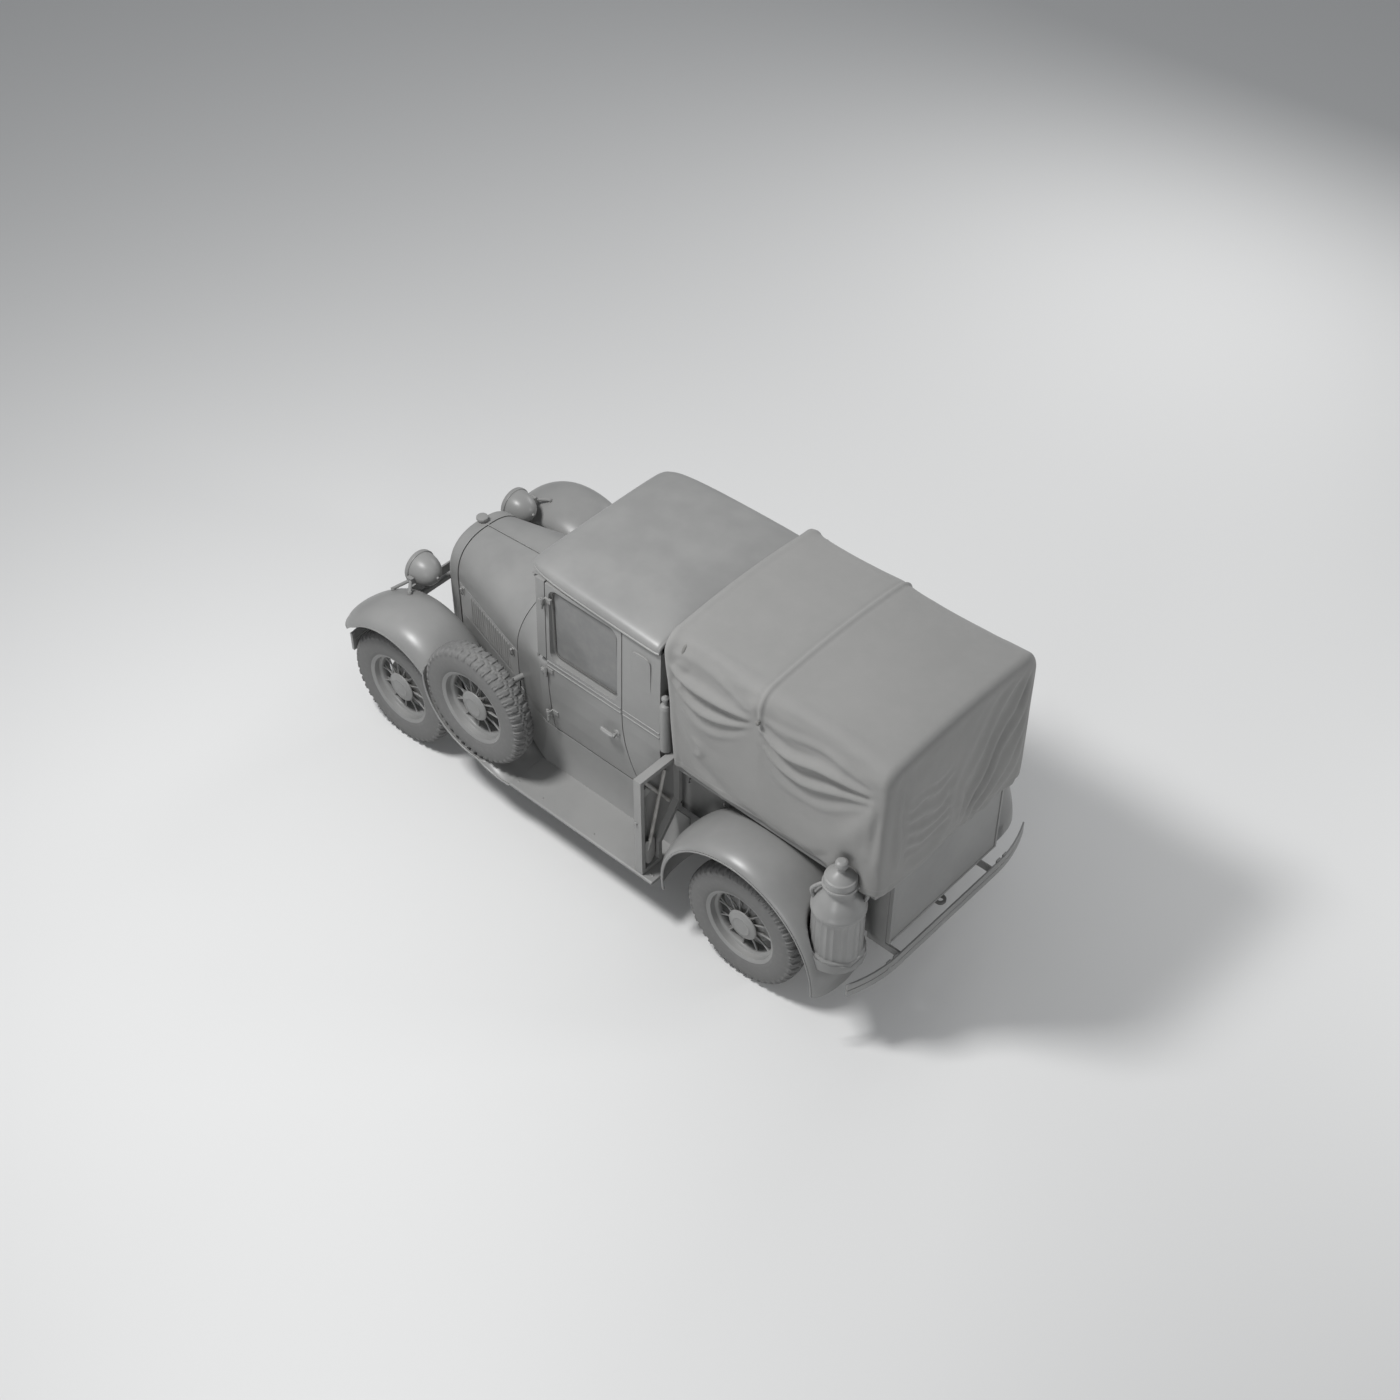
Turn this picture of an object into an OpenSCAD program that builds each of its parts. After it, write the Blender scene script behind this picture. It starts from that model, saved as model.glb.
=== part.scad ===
// Light military cargo truck of the 1930s: ladder frame, beam axles on transverse springs, wire wheels,
// closed two-door cab, low steel cargo tub with a canvas tilt, side spare wheel, churn, extinguisher and
// tool board.
// Frame: +X forward, +Y to the truck's left, +Z up, origin on the ground under the middle of the truck.
// Millimetres.

/* [Chassis] */
// Distance between the two axles
wheelbase = 2620; // [2560:10:2700]
// Front axle to the front face of the bumper
front_overhang = 445; // [430:5:500]
// Rear axle to the rear face of the bumper
rear_overhang = 765; // [755:5:850]
// Distance between the tyres' centre planes
track = 1420; // [1410:2:1430]
// Outside width over the fenders and running boards
overall_width = 1690; // [1680:5:1740]
// Height of the frame rails' top above the ground
frame_top_z = 535; // [530:1:540]
// Depth of a frame rail
rail_h = 90; // [80:1:95]
// Outer faces of the two frame rails
rail_span = 760; // [740:5:780]

/* [Wheels] */
// Outside diameter of a tyre over its lugs
tyre_od = 748; // [740:1:752]
// Width of a tyre's section
tyre_w = 150; // [144:1:152]
// Radius of the rim's bead seat
rim_r = 216; // [212:1:220]
// Radius of the hub cap
hub_cap_r = 94; // [88:1:98]
// Spokes in each of the two rows of a wheel
spokes_per_row = 12; // [10:1:14]
// Lugs on each shoulder of a tyre
lugs = 26; // [20:1:30]
// Depth of the tread lugs
lug_depth = 9; // [6:0.5:11]

/* [Cab] */
// Rear axle to the cab's rear wall
cab_setback = 738; // [730:1:750]
// Half of the cab's width at the belt line
cab_half = 578; // [570:1:584]
// Height of the belt line
belt_z = 1130; // [1120:1:1140]
// Underside of the roof
roof_z = 1690; // [1680:1:1700]
// Crown of the roof above its underside
roof_rise = 98; // [85:1:110]
// Thickness of the cab's walls and doors
wall = 38; // [34:1:42]
// Length of a door along the belt line
door_len = 546; // [536:1:552]
// Gap round the doors
door_gap = 6; // [5:0.5:8]

/* [Engine cover] */
// Half width of the hood at the radiator
hood_front_half = 258; // [250:1:266]
// Half width of the hood at the cowl
hood_rear_half = 445; // [435:1:448]
// Height of the hood's ridge at the radiator
hood_front_z = 1130; // [1120:1:1140]
// Height of the hood's ridge at the cowl
hood_rear_z = 1180; // [1172:1:1188]
// Thickness of the hood's sheet with its flange
hood_t = 5; // [4:0.5:6]
// Louvres on each side of the hood
louvres = 18; // [14:1:20]

/* [Cargo] */
// Half width of the cargo tub
tub_half = 455; // [445:1:458]
// Top of the flared rails of the tub
rail_top_z = 1000; // [992:1:1002]
// Half width of the canvas tilt
tilt_half = 590; // [586:1:600]
// Height of the tilt over its bows
tilt_top_z = 1905; // [1890:1:1930]
// Height of the canvas hem
hem_z = 1004; // [996:1:1010]
// Thickness of the tilt with its folds
canvas_t = 12; // [10:1:14]

/* [Fittings] */
// Radius of the churn
churn_r = 142; // [134:1:144]
// Height of the churn with its lid
churn_h = 668; // [650:1:680]
// Radius of a headlamp's rim
lamp_r = 104; // [98:1:110]
// Height of the tool board above the running board
board_h = 705; // [690:1:715]

/* [Hidden] */
$fn = 48;
seat_gap = 0.3;
overall_length = wheelbase + front_overhang + rear_overhang;
rear_axle_x = -overall_length / 2 + rear_overhang;
front_axle_x = rear_axle_x + wheelbase;
half_w = overall_width / 2;
tyre_r = tyre_od / 2;
axle_z = tyre_r;
wheel_y = track / 2;
side_signs = [1, -1];

// Levels and places of the cab
rail_y = rail_span / 2;
cab_rear_x = rear_axle_x + cab_setback;
door_rear_x = cab_rear_x + 272;
door_front_x = door_rear_x + door_len;
pillar_x = door_front_x + door_gap;
screen_x = pillar_x + 62;
floor_t = 35;
floor_z = frame_top_z + floor_t;
sill_z = frame_top_z + 77;
door_sweep = 90;
door_sweep_z = belt_z - 80;
hinge_y = cab_half + 12;
hinge_x = door_front_x + door_gap / 2;
door_hinges = [belt_z - 390, belt_z - 60, roof_z - 130];

// Levels and places of the hood and radiator
cowl_front_x = cab_rear_x + 1197;
panel_gap = 4;
hood_rear_x = cowl_front_x + panel_gap;
radiator_x = front_axle_x - 10;
hood_front_x = radiator_x - panel_gap;
shell_depth = 85;
hood_bottom_z = 650;
hood_shoulder_z = 880;
hinge_r = 4;

// Levels and places of the running gear
spindle_r = 16;
running_fit = 0.05;
kingpin_y = wheel_y - 85;
kingpin_r = 11;
plate_y = wheel_y - 50;
drum_r = 145;
arm_back = 150;
tie_z = axle_z - 74;
tie_pin_r = 7;

// Levels and places of the running boards, tub and tilt
board_top_z = 345;
board_t = 25;
board_in_y = 545;
board_rear_x = rear_axle_x + 561;
fender_crest_r = 530;
fender_foot_r = 400;
fender_leave = 140;
fender_centre = [front_axle_x - 42, axle_z + 46];
fender_dir = [-sin(fender_leave), cos(fender_leave)];
fender_leave_at = fender_centre + fender_crest_r * [cos(fender_leave), sin(fender_leave)];
fender_foot_at = fender_leave_at + fender_dir
  * (fender_leave_at[1] - board_top_z - fender_foot_r * (1 + fender_dir[0])) / -fender_dir[1];
fender_foot_c = fender_foot_at + fender_foot_r * [cos(fender_leave), sin(fender_leave)];
fender_end_x = fender_foot_c[0];
tub_front_x = cab_rear_x - 43;
tub_rear_x = rear_axle_x - 695;
tub_wall = 25;
tub_z = frame_top_z;
tub_flare_z = rail_top_z - 60;
tilt_front_x = cab_rear_x - 46;
tilt_rear_x = tub_rear_x - 40;
tilt_rake = 69;
bow_r = 12;
bow_clear = 4.5;
bow_xs = [tub_front_x - 105, rear_axle_x + 65, tub_rear_x + 21];
rail_out_y = tilt_half - canvas_t - 2;
bow_y = tilt_half - canvas_t - bow_clear - bow_r;
flare_front_x = tub_front_x - 77;

// Spare wheel, churn and tool board
spare = [cowl_front_x - 21, half_w - 2 - tyre_w / 2, axle_z + 361];
churn = [rear_axle_x - 538, half_w - 190, frame_top_z + 13];
tool_x = board_rear_x + 72;
tool_t = 50;

// Shapes that several pieces share

// Closed solid through rings of the same count of points; rings run along the solid, either way round.
function middle(ring) = [for (p = ring) 1] * ring / len(ring);
function ring_normal(ring) = [for (p = ring) 1] * [for (i = [0:len(ring) - 1]) cross(ring[i],
  ring[(i + 1) % len(ring)])];

// A sheet's rings run out along one face and back along the other, and its ends close in strips across it.
module loft(rings, sheet = false) {
  n = len(rings[0]);
  m = len(rings);
  flip = ring_normal(rings[0]) * (middle(rings[1]) - middle(rings[0])) > 0;
  sides = [for (i = [0:m - 2], j = [0:n - 1]) let (
      a = i * n + j, b = i * n + (j + 1) % n, c = (i + 1) * n + (j + 1) % n, d = (i + 1) * n + j)
    each flip ? [[a, c, b], [a, d, c]] : [[a, b, c], [a, c, d]]];
  end = sheet ? [for (j = [0:n / 2 - 2]) each [[j, j + 1, n - 2 - j], [j, n - 2 - j, n - 1 - j]]]
    : [[for (j = [0:n - 1]) j]];
  caps = concat([for (face = end) reversed(face)], [for (face = end) [for (j = face) (m - 1) * n + j]]);
  polyhedron([for (r = rings) each r], concat(sides, flip ? [for (c = caps) reversed(c)] : caps),
    convexity = 6);
}

// Round bar between two points.
module rod(a, b, r) {
  d = b - a;
  translate(a) rotate([0, acos(d.z / norm(d)), atan2(d.y, d.x)]) cylinder(r = r, h = norm(d));
}

// Solid of revolution about the Y axis from an [radius, y] outline.
module spin_y(outline) {
  rotate([-90, 0, 0]) rotate_extrude() polygon(outline);
}

// Rectangle with round corners, its lower left corner at the origin.
module round_rect(w, h, r) {
  translate([r, 0]) square([w - 2 * r, h]);
  translate([0, r]) square([w, h - 2 * r]);
  for (x = [r, w - r], y = [r, h - r]) translate([x, y]) circle(r);
}

// Child drawn in X and Z, made a slab from y0 to y1.
module slab_y(y0, y1) {
  translate([0, y1, 0]) rotate([90, 0, 0]) linear_extrude(y1 - y0) children();
}

// Child drawn in Y and Z, made a slab from x0 to x1.
module slab_x(x0, x1) {
  translate([x0, 0, 0]) rotate([90, 0, 90]) linear_extrude(x1 - x0) children();
}

// A piece and its mirror image on the truck's other side.
module both_sides() {
  children();
  mirror([0, 1, 0]) children();
}

function power(v, e) = sign(v) * pow(abs(v), e);
function mix(a, b, t) = a + (b - a) * t;

// Arch outline in Y and Z: straight sides from low up to shoulder, then a rounded top; squareness 2 is
// an ellipse.
function arch(half, low, shoulder, top, squareness, steps = 12, from = 0, to = 180) = concat(
  from == 0 ? [[half, low]] : [],
  [for (i = [0:steps]) let (a = mix(from, to, i / steps))
    [half * power(cos(a), 2 / squareness), shoulder + (top - shoulder) * power(sin(a), 2 / squareness)]],
  to == 180 ? [[-half, low]] : []);

function at_x(x, outline) = [for (p = outline) [x, p[0], p[1]]];
function reversed(list) = [for (i = [len(list) - 1:-1:0]) list[i]];

rail_web = 6;
rail_z = frame_top_z - rail_h;
rail_rear_x = tub_rear_x + 25;
rail_front_x = front_axle_x + 300;
rear_spring_x = rear_axle_x - 125;

// Frame: two channel rails, open towards each other
module frame() {
  flange = 42;
  length = rail_front_x - rail_rear_x;
  color("dimgray") both_sides() difference() {
    translate([rail_rear_x, rail_y - flange, rail_z]) cube([length, flange, rail_h]);
    translate([rail_rear_x - 1, rail_y - flange - 1, rail_z + rail_web])
      cube([length + 2, flange - rail_web + 1, rail_h - 2 * rail_web]);
  }
}

// Cross members that sit in the rails' channels; the rear one has the tow eye
module cross_members() {
  half = rail_y - rail_web - seat_gap;
  low = rail_z + rail_web + seat_gap;
  h = rail_h - 2 * rail_web - 2 * seat_gap;
  // Middle of each member, and its length along the truck
  members = [[rail_rear_x + 40, 70], [rear_spring_x, 90], [cab_rear_x + 60, 60], [cab_rear_x + 700, 60],
    [front_axle_x, 90]];
  color("dimgray") {
    for (m = members) difference() {
      translate([m[0] - m[1] / 2, -half, low]) cube([m[1], 2 * half, h]);
      translate([m[0] - m[1] / 2 + rail_web, -half - 1, low - 1])
        cube([m[1] - 2 * rail_web, 2 * half + 2, h - rail_web + 1]);
    }
    // Tow eye
    translate([rail_rear_x - 30, 0, rail_z + 30]) difference() {
      union() {
        cylinder(r = 32, h = 16);
        translate([0, -26, 0]) cube([38, 52, 16]);
      }
      translate([0, 0, -1]) cylinder(r = 17, h = 18);
    }
  }
}

// Running gear

beam_low = axle_z - 84;
beam_mid_h = 50;
spring_y = 470;
wishbone_x = cab_rear_x + 1150;
gearbox_x = cab_rear_x + 1052;

// Front axle: forged drop beam with kingpin bosses, and the wishbone that locates it
module front_axle() {
  beam_w = 44;
  end_h = 28;
  knee_y = spring_y + 20;
  color("dimgray") translate([front_axle_x, 0, 0]) {
    difference() {
      union() {
        difference() {
          slab_x(-beam_w / 2, beam_w / 2) polygon([[-kingpin_y, axle_z - end_h], [-knee_y, beam_low],
            [knee_y, beam_low], [kingpin_y, axle_z - end_h], [kingpin_y, axle_z + end_h],
            [knee_y - 30, beam_low + beam_mid_h], [30 - knee_y, beam_low + beam_mid_h],
              [-kingpin_y, axle_z + end_h]]);
          for (s = side_signs) translate([s * beam_w / 2, 0, beam_low + beam_mid_h / 2])
            cube([beam_w / 2, 2 * (knee_y - 60), beam_mid_h / 2], center = true);
        }
        for (s = side_signs) translate([0, s * kingpin_y, axle_z - 33]) cylinder(r = 21, h = 66);
      }
      for (s = side_signs) translate([0, s * kingpin_y, axle_z - 40])
        cylinder(r = kingpin_r + running_fit, h = 80);
    }
    both_sides() {
      rod([0, spring_y - 20, beam_low + beam_mid_h / 2],
        [wishbone_x - front_axle_x, 30, frame_top_z - 150], 14);
      rod([0, spring_y - 20, beam_low + beam_mid_h - 5], [0, spring_y - 20, beam_low + beam_mid_h + 24],
        16);
    }
    translate([wishbone_x - front_axle_x, 0, frame_top_z - 150]) sphere(46);
  }
}

// Rear axle: tube, banjo, torque tube, radius rods, brake plates, spring perches and wheel stubs
module rear_axle() {
  tube_r = 38;
  torque = [gearbox_x - seat_gap - rear_axle_x, 0, 26];
  color("dimgray") translate([rear_axle_x, 0, axle_z]) {
    translate([0, -plate_y, 0]) rotate([-90, 0, 0]) cylinder(r = tube_r, h = 2 * plate_y);
    spin_y([[0, -95], [50, -95], [100, -30], [100, 30], [50, 95], [0, 95]]);
    intersection() {
      rod([0, 0, 0], torque + [60, 0, 1], 30);
      translate([0, -50, -50]) cube([torque.x, 100, 150]);
    }
    both_sides() {
      rod([0, spring_y + 40, -10], [torque.x - 300, 20, 20], 13);
      translate([0, plate_y - 5, 0]) rotate([-90, 0, 0]) cylinder(r = drum_r - 2, h = 5);
      translate([0, plate_y - 1, 0]) rotate([-90, 0, 0])
        cylinder(r = spindle_r, h = wheel_y + 39 - plate_y);
      rod([0, spring_y + 24, -14], [rear_spring_x - rear_axle_x - 15, spring_y + 24, -14], 12);
    }
  }
}

// Outline of an arched stack of leaves in Y and Z; the longest leaf is the lowest.
function leaf_stack(span, rise, leaves, leaf_t, top_z) = let (
    base = top_z - leaves * leaf_t,
    at = function (y, k) base - rise * (y / span) * (y / span) + k * leaf_t,
    reach = [for (k = [0:leaves - 1]) span * (1 - 0.72 * k / leaves)],
    right = [for (k = [0:leaves - 1]) each [[reach[k], at(reach[k], k)],
      [reach[k], at(reach[k], k + 1)]]],
    lower = [for (i = [1:13]) let (y = mix(-span, span, i / 14)) [y, at(y, 0)]])
  concat(lower, right, [for (p = reversed(right)) [-p[0], p[1]]]);

// Springs: one transverse stack over the front axle and one behind the rear axle, clamped under the frame
module leaf_springs() {
  leaf_w = 46;
  leaf_t = 7;
  // Place along the truck, leaves, height of the seat, height of the lowest leaf's ends
  springs = [[front_axle_x, 5, frame_top_z - rail_h + 6 - seat_gap,
    beam_low + beam_mid_h + 24 + seat_gap],
    [rear_spring_x, 6, frame_top_z - 2 * rail_web - 2 * seat_gap, axle_z - 14]];
  color("dimgray") for (s = springs) {
    slab_x(s[0] - leaf_w / 2, s[0] + leaf_w / 2)
      polygon(leaf_stack(spring_y, s[2] - s[1] * leaf_t - s[3], s[1], leaf_t, s[2]));
    if (s[0] < 0) for (y = side_signs) translate([s[0] - leaf_w / 2, y * (spring_y - 2), s[3] + 3])
      rotate([0, 90, 0]) cylinder(r = 11, h = leaf_w);
  }
}

// Engine and gearbox: one plain mass behind the radiator
module engine() {
  front_x = radiator_x - 130;
  rear_x = cowl_front_x + 36;
  low_z = frame_top_z - 75;
  color("slategray") {
    translate([rear_x, -140, low_z + 60]) cube([front_x - rear_x, 280, 330]);
    translate([rear_x, -95, low_z]) cube([front_x - rear_x, 190, 70]);
    translate([rear_x + 30, -80, low_z + 380]) cube([front_x - rear_x - 90, 160, 60]);
    translate([gearbox_x, -85, low_z - 20]) cube([rear_x + 10 - gearbox_x, 170, 90]);
    translate([gearbox_x, -60, low_z - 100]) cube([40, 120, 100]);
    translate([front_x - 10, 0, low_z + 250]) rotate([0, 90, 0]) cylinder(r = 40, h = 60);
    for (i = [0:1]) translate([front_x + 35, 0, low_z + 250]) rotate([45 + 90 * i, 0, 0])
      translate([0, -190, -22]) cube([6, 380, 44]);
  }
}

// Exhaust: down pipe, silencer and short tail pipe inside the right rail
module exhaust() {
  y = -rail_y + 110;
  z = frame_top_z - rail_h - 75;
  muffler = [cab_rear_x + 262, cab_rear_x + 662];
  color("gray") {
    rod([muffler[0], y, z], [muffler[1], y, z], 62);
    rod([muffler[1] - 5, y, z], [gearbox_x + 40, y, z + 6], 22);
    rod([muffler[0] + 5, y - 30, z], [muffler[0] - 290, y - 45, z - 8], 20);
  }
}

// Engine cover

hood_squareness = 2.5;
ridge_gap = 6;

// Angle of the arch at which its half width has come down to the ridge's own half gap
function ridge_angle(half) = acos(pow(ridge_gap / half, hood_squareness / 2));

// One half of the hood's top at a station: from the shoulder round to the ridge, then back inside
function hood_ring(x, half, top) = at_x(x, concat(
  hood_line(half, top, ridge_angle(half)),
    reversed(hood_line(half - hood_t, top - hood_t, ridge_angle(half - hood_t)))));

function hood_line(half, top, ridge) = [for (i = [0:12]) let (a = ridge * i / 12)
  [half * power(cos(a), 2 / hood_squareness),
    hood_shoulder_z + (top - hood_shoulder_z) * power(sin(a), 2 / hood_squareness)]];

// Direction and length of the hood's side in plan
hood_side_angle = atan2(hood_front_half - hood_rear_half, hood_front_x - hood_rear_x);
hood_side_length = norm([hood_front_x - hood_rear_x, hood_front_half - hood_rear_half]);

// Left half of the hood's top
module hood_half() {
  stations = 24;
  color("gray") loft([for (i = [0:stations]) let (t = i / stations)
    hood_ring(mix(hood_rear_x, hood_front_x, t), mix(hood_rear_half, hood_front_half, t),
      mix(hood_rear_z, hood_front_z, t))], sheet = true);
}

// Fixed sides of the hood, each with its row of louvres
module hood_sides() {
  louvre_z = [hood_bottom_z + 22, hood_shoulder_z - 20];
  // Share of the side's length at the first and the last louvre
  row = [0.15, 0.79];
  color("gray") both_sides() translate([hood_rear_x, hood_rear_half, 0]) rotate([0, 0, hood_side_angle]) {
    translate([0, -hood_t, hood_bottom_z])
      cube([hood_side_length, hood_t, hood_shoulder_z - 5 - hood_bottom_z]);
    for (i = [0:louvres - 1]) translate([hood_side_length * mix(row[0], row[1], i / (louvres - 1)), -2,
      louvre_z[0]])
      difference() {
        cylinder(r = 10, h = louvre_z[1] - louvre_z[0]);
        translate([-20, -40, -1]) cube([40, 40, louvre_z[1] - louvre_z[0] + 2]);
      }
  }
}

module hood_left() { hood_half(); }
module hood_right() { mirror([0, 1, 0]) hood_half(); }

radiator_low_z = frame_top_z + seat_gap;
radiator_rim = 38;

// Radiator shell: arched surround with a rounded front edge, and the filler cap
module radiator_shell() {
  // Set back from the outline, place along the shell
  steps = [[0, 0], [0, shell_depth - 34], [6, shell_depth - 14], [22, shell_depth]];
  color("gray") {
    difference() {
      loft([for (s = steps) at_x(radiator_x + s[1],
        arch(hood_front_half + 4 - s[0], radiator_low_z + s[0],
        hood_shoulder_z, hood_front_z + 4 - s[0], hood_squareness, 16))]);
      loft([for (x = [-1, shell_depth + 1]) at_x(radiator_x + x, arch(hood_front_half - radiator_rim,
        radiator_low_z + radiator_rim, hood_shoulder_z, hood_front_z - radiator_rim, hood_squareness,
          16))]);
    }
    translate([radiator_x + 48, 0, hood_front_z - 12]) cylinder(r = 26, h = 34);
    translate([radiator_x + 48, 0, hood_front_z + 20]) cylinder(r = 34, h = 16);
    translate([radiator_x + 48, 0, hood_front_z + 35]) cylinder(r1 = 30, r2 = 14, h = 10);
  }
}

// Radiator core: a block with upright fins in front
module radiator_core() {
  rim = radiator_rim + seat_gap;
  fins = 21;
  color("dimgray") {
    loft([for (x = [8, 46]) at_x(radiator_x + x, arch(hood_front_half - rim, radiator_low_z + rim,
      hood_shoulder_z, hood_front_z - rim, hood_squareness, 16))]);
    intersection() {
      loft([for (x = [45, 60]) at_x(radiator_x + x,
        arch(hood_front_half - rim - 1, radiator_low_z + rim + 1,
        hood_shoulder_z, hood_front_z - rim - 1, hood_squareness, 16))]);
      for (i = [0:fins - 1]) translate([radiator_x + 40, mix(-200, 200, i / (fins - 1)) - 3,
        radiator_low_z])
        cube([20, 6, hood_front_z - radiator_low_z]);
    }
  }
}

scuttle_z = belt_z + 28;

// Outer face of the cab's side at a height, as a distance from the middle plane
function side_y(z) = z < belt_z
  ? cab_half - 36 * pow((belt_z - z) / (belt_z - sill_z), 2)
  : cab_half - 18 * (z - belt_z) / (roof_z - belt_z);

// Arch of the cowl: its sides tuck in below the shoulder, less so towards the hood
function cowl_arch(half, tuck, shoulder, top, squareness, low_z) = let (
    low = [for (i = [0:2]) let (z = mix(low_z, shoulder, i / 3))
      [half - tuck * pow((shoulder - z) / (shoulder - low_z), 2), z]])
  concat(low, [for (i = [0:16]) let (a = 180 * i / 16)
      [half * power(cos(a), 2 / squareness),
        shoulder + (top - shoulder) * power(sin(a), 2 / squareness)]],
    [for (p = reversed(low)) [-p[0], p[1]]]);

// Cowl: scuttle between the hood and the doors, firewall, instrument panel, hinge rod and spare wheel arm
module cowl() {
  t = 26;
  rear_half = cab_half - 3;
  // Place, half width, tuck, shoulder, top, squareness of each section
  sections = [[pillar_x, rear_half, 33, belt_z - 110, scuttle_z, 5],
    [screen_x + 4, rear_half - 4, 32, belt_z - 110, scuttle_z, 5],
    [mix(screen_x, cowl_front_x, 0.45), mix(rear_half, hood_rear_half, 0.4), 18, belt_z - 180,
      scuttle_z + 10, 3.6],
    [cowl_front_x, hood_rear_half, 8, hood_shoulder_z, hood_rear_z, hood_squareness]];
  color("gray") {
    difference() {
      loft([for (s = sections) at_x(s[0], cowl_arch(s[1], s[2], s[3], s[4], s[5], sill_z))]);
      loft([for (i = [0:3]) let (s = sections[i])
        at_x(s[0] + [-1, 0, 0, 1][i], cowl_arch(s[1] - t, s[2], s[3], s[4] - t, s[5], sill_z - 9))]);
    }
    // Firewall with the steering column's opening
    difference() {
      slab_x(cowl_front_x - 14, cowl_front_x - 2)
        polygon(arch(hood_rear_half - 10, sill_z, hood_shoulder_z, hood_rear_z - 10, hood_squareness,
          16));
      translate([cowl_front_x - 60, column_y - 60, frame_top_z + 25]) cube([100, 140, 280]);
    }
    // Instrument panel
    slab_x(screen_x + 20, screen_x + 32) translate([20 - rear_half, belt_z - 120])
      square([2 * rear_half - 40, 122]);
    rod([cowl_front_x - 8, 0, hood_rear_z + 1], [radiator_x - seat_gap, 0, hood_front_z + 1], hinge_r);
    // Spare wheel arm and its flange
    rod([spare.x - 29, hood_rear_half - 12, spare.z], [spare.x, spare.y - 60, spare.z], 18);
    translate([spare.x, spare.y - 60, spare.z]) rotate([-90, 0, 0]) cylinder(r = 50, h = 10 - seat_gap);
    both_sides() for (z = door_hinges) if (z < scuttle_z) pillar_hinge(z);
  }
}

// Cab

// Section of the cab's side wall in Y and Z between two heights
function side_section(z0, z1, t = wall,
  steps = 8) = let (zs = [for (i = [0:steps]) mix(z0, z1, i / steps)])
  concat([for (z = zs) [side_y(z), z]], [for (z = reversed(zs)) [side_y(z) - t, z]]);

// Belt moulding that runs along the door and the quarter panel
module belt_bead(x0, x1) {
  for (z = [belt_z - 16, belt_z + 16]) rod([x0, side_y(z) - 1, z], [x1, side_y(z) - 1, z], 5);
}

// Rear edge of the door in X and Z, swept back below the belt; back moves it along the truck
function door_edge(back) = concat(
  [[door_rear_x - back, roof_z + 1]],
  [for (i = [0:6]) let (t = i / 6) [door_rear_x - back - door_sweep * t * t,
    mix(door_sweep_z, sill_z, t)]]);

window_z = [belt_z + 58, roof_z - 44];
window_x = [door_rear_x + 46, door_front_x - 40];
window_r = 42;
handle_z = belt_z - 190;

module window_shape(grow) {
  translate([window_x[0] - grow, window_z[0] - grow])
    round_rect(window_x[1] - window_x[0] + 2 * grow, window_z[1] - window_z[0] + 2 * grow,
      window_r + grow);
}

// Door: one panel as thick as the wall, window cut, belt moulding, handle and upper hinge halves
module door_shape() {
  color("gray") {
    difference() {
      intersection() {
        slab_x(door_rear_x - door_sweep - 1, door_front_x)
          polygon(side_section(sill_z + door_gap, roof_z - door_gap));
        slab_y(0, half_w) polygon(concat(door_edge(0),
          [[door_front_x, sill_z], [door_front_x, roof_z + 1]]));
      }
      slab_y(0, half_w) window_shape(0);
      slab_y(side_y(window_z[1]) - 14, half_w) window_shape(16);
    }
    belt_bead(door_rear_x + 4, door_front_x - 3);
    rod([door_rear_x + 40, side_y(handle_z) - 4, handle_z],
      [door_rear_x + 40, side_y(handle_z) + 34, handle_z], 9);
    rod([door_rear_x + 30, side_y(handle_z) + 30, handle_z - 1],
      [door_rear_x + 128, side_y(handle_z) + 30, handle_z + 5], 9);
    translate([door_rear_x + 40, side_y(handle_z) - 2, handle_z]) rotate([-90, 0, 0])
      cylinder(r = 19, h = 8);
    for (z = door_hinges) difference() {
      union() {
        translate([hinge_x, hinge_y, z + 1]) cylinder(r = 9, h = 34);
        translate([hinge_x - 48, side_y(z) - 8, z + 4]) cube([44, 16, 28]);
        translate([hinge_x - 12, side_y(z) - 4, z + 4]) cube([8, hinge_y - side_y(z) + 8, 28]);
      }
      translate([hinge_x, hinge_y, z]) cylinder(r = 4 + running_fit, h = 40);
    }
  }
}

module door_left() { door_shape(); }
module door_right() { mirror([0, 1, 0]) door_shape(); }

module door_glass() {
  color("lightgray") slab_y(cab_half - 42, cab_half - 36) window_shape(-seat_gap);
}
module door_glass_left() { door_glass(); }
module door_glass_right() { mirror([0, 1, 0]) door_glass(); }

// Lower half of a door hinge, on the pillar
module pillar_hinge(z) {
  translate([hinge_x, hinge_y, z - 34]) cylinder(r = 9, h = 34);
  translate([hinge_x, hinge_y, z - 34]) cylinder(r = 4, h = 66);
  translate([hinge_x + 5, side_y(z) - 12, z - 32]) cube([42, 20, 28]);
  translate([hinge_x + 4, side_y(z) - 4, z - 32]) cube([9, hinge_y - side_y(z) + 8, 28]);
}

window_wall = roof_z - belt_z;
rear_window = [520, window_wall * 25 / 56];
rear_window_z = belt_z + window_wall * 17 / 56;

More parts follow.
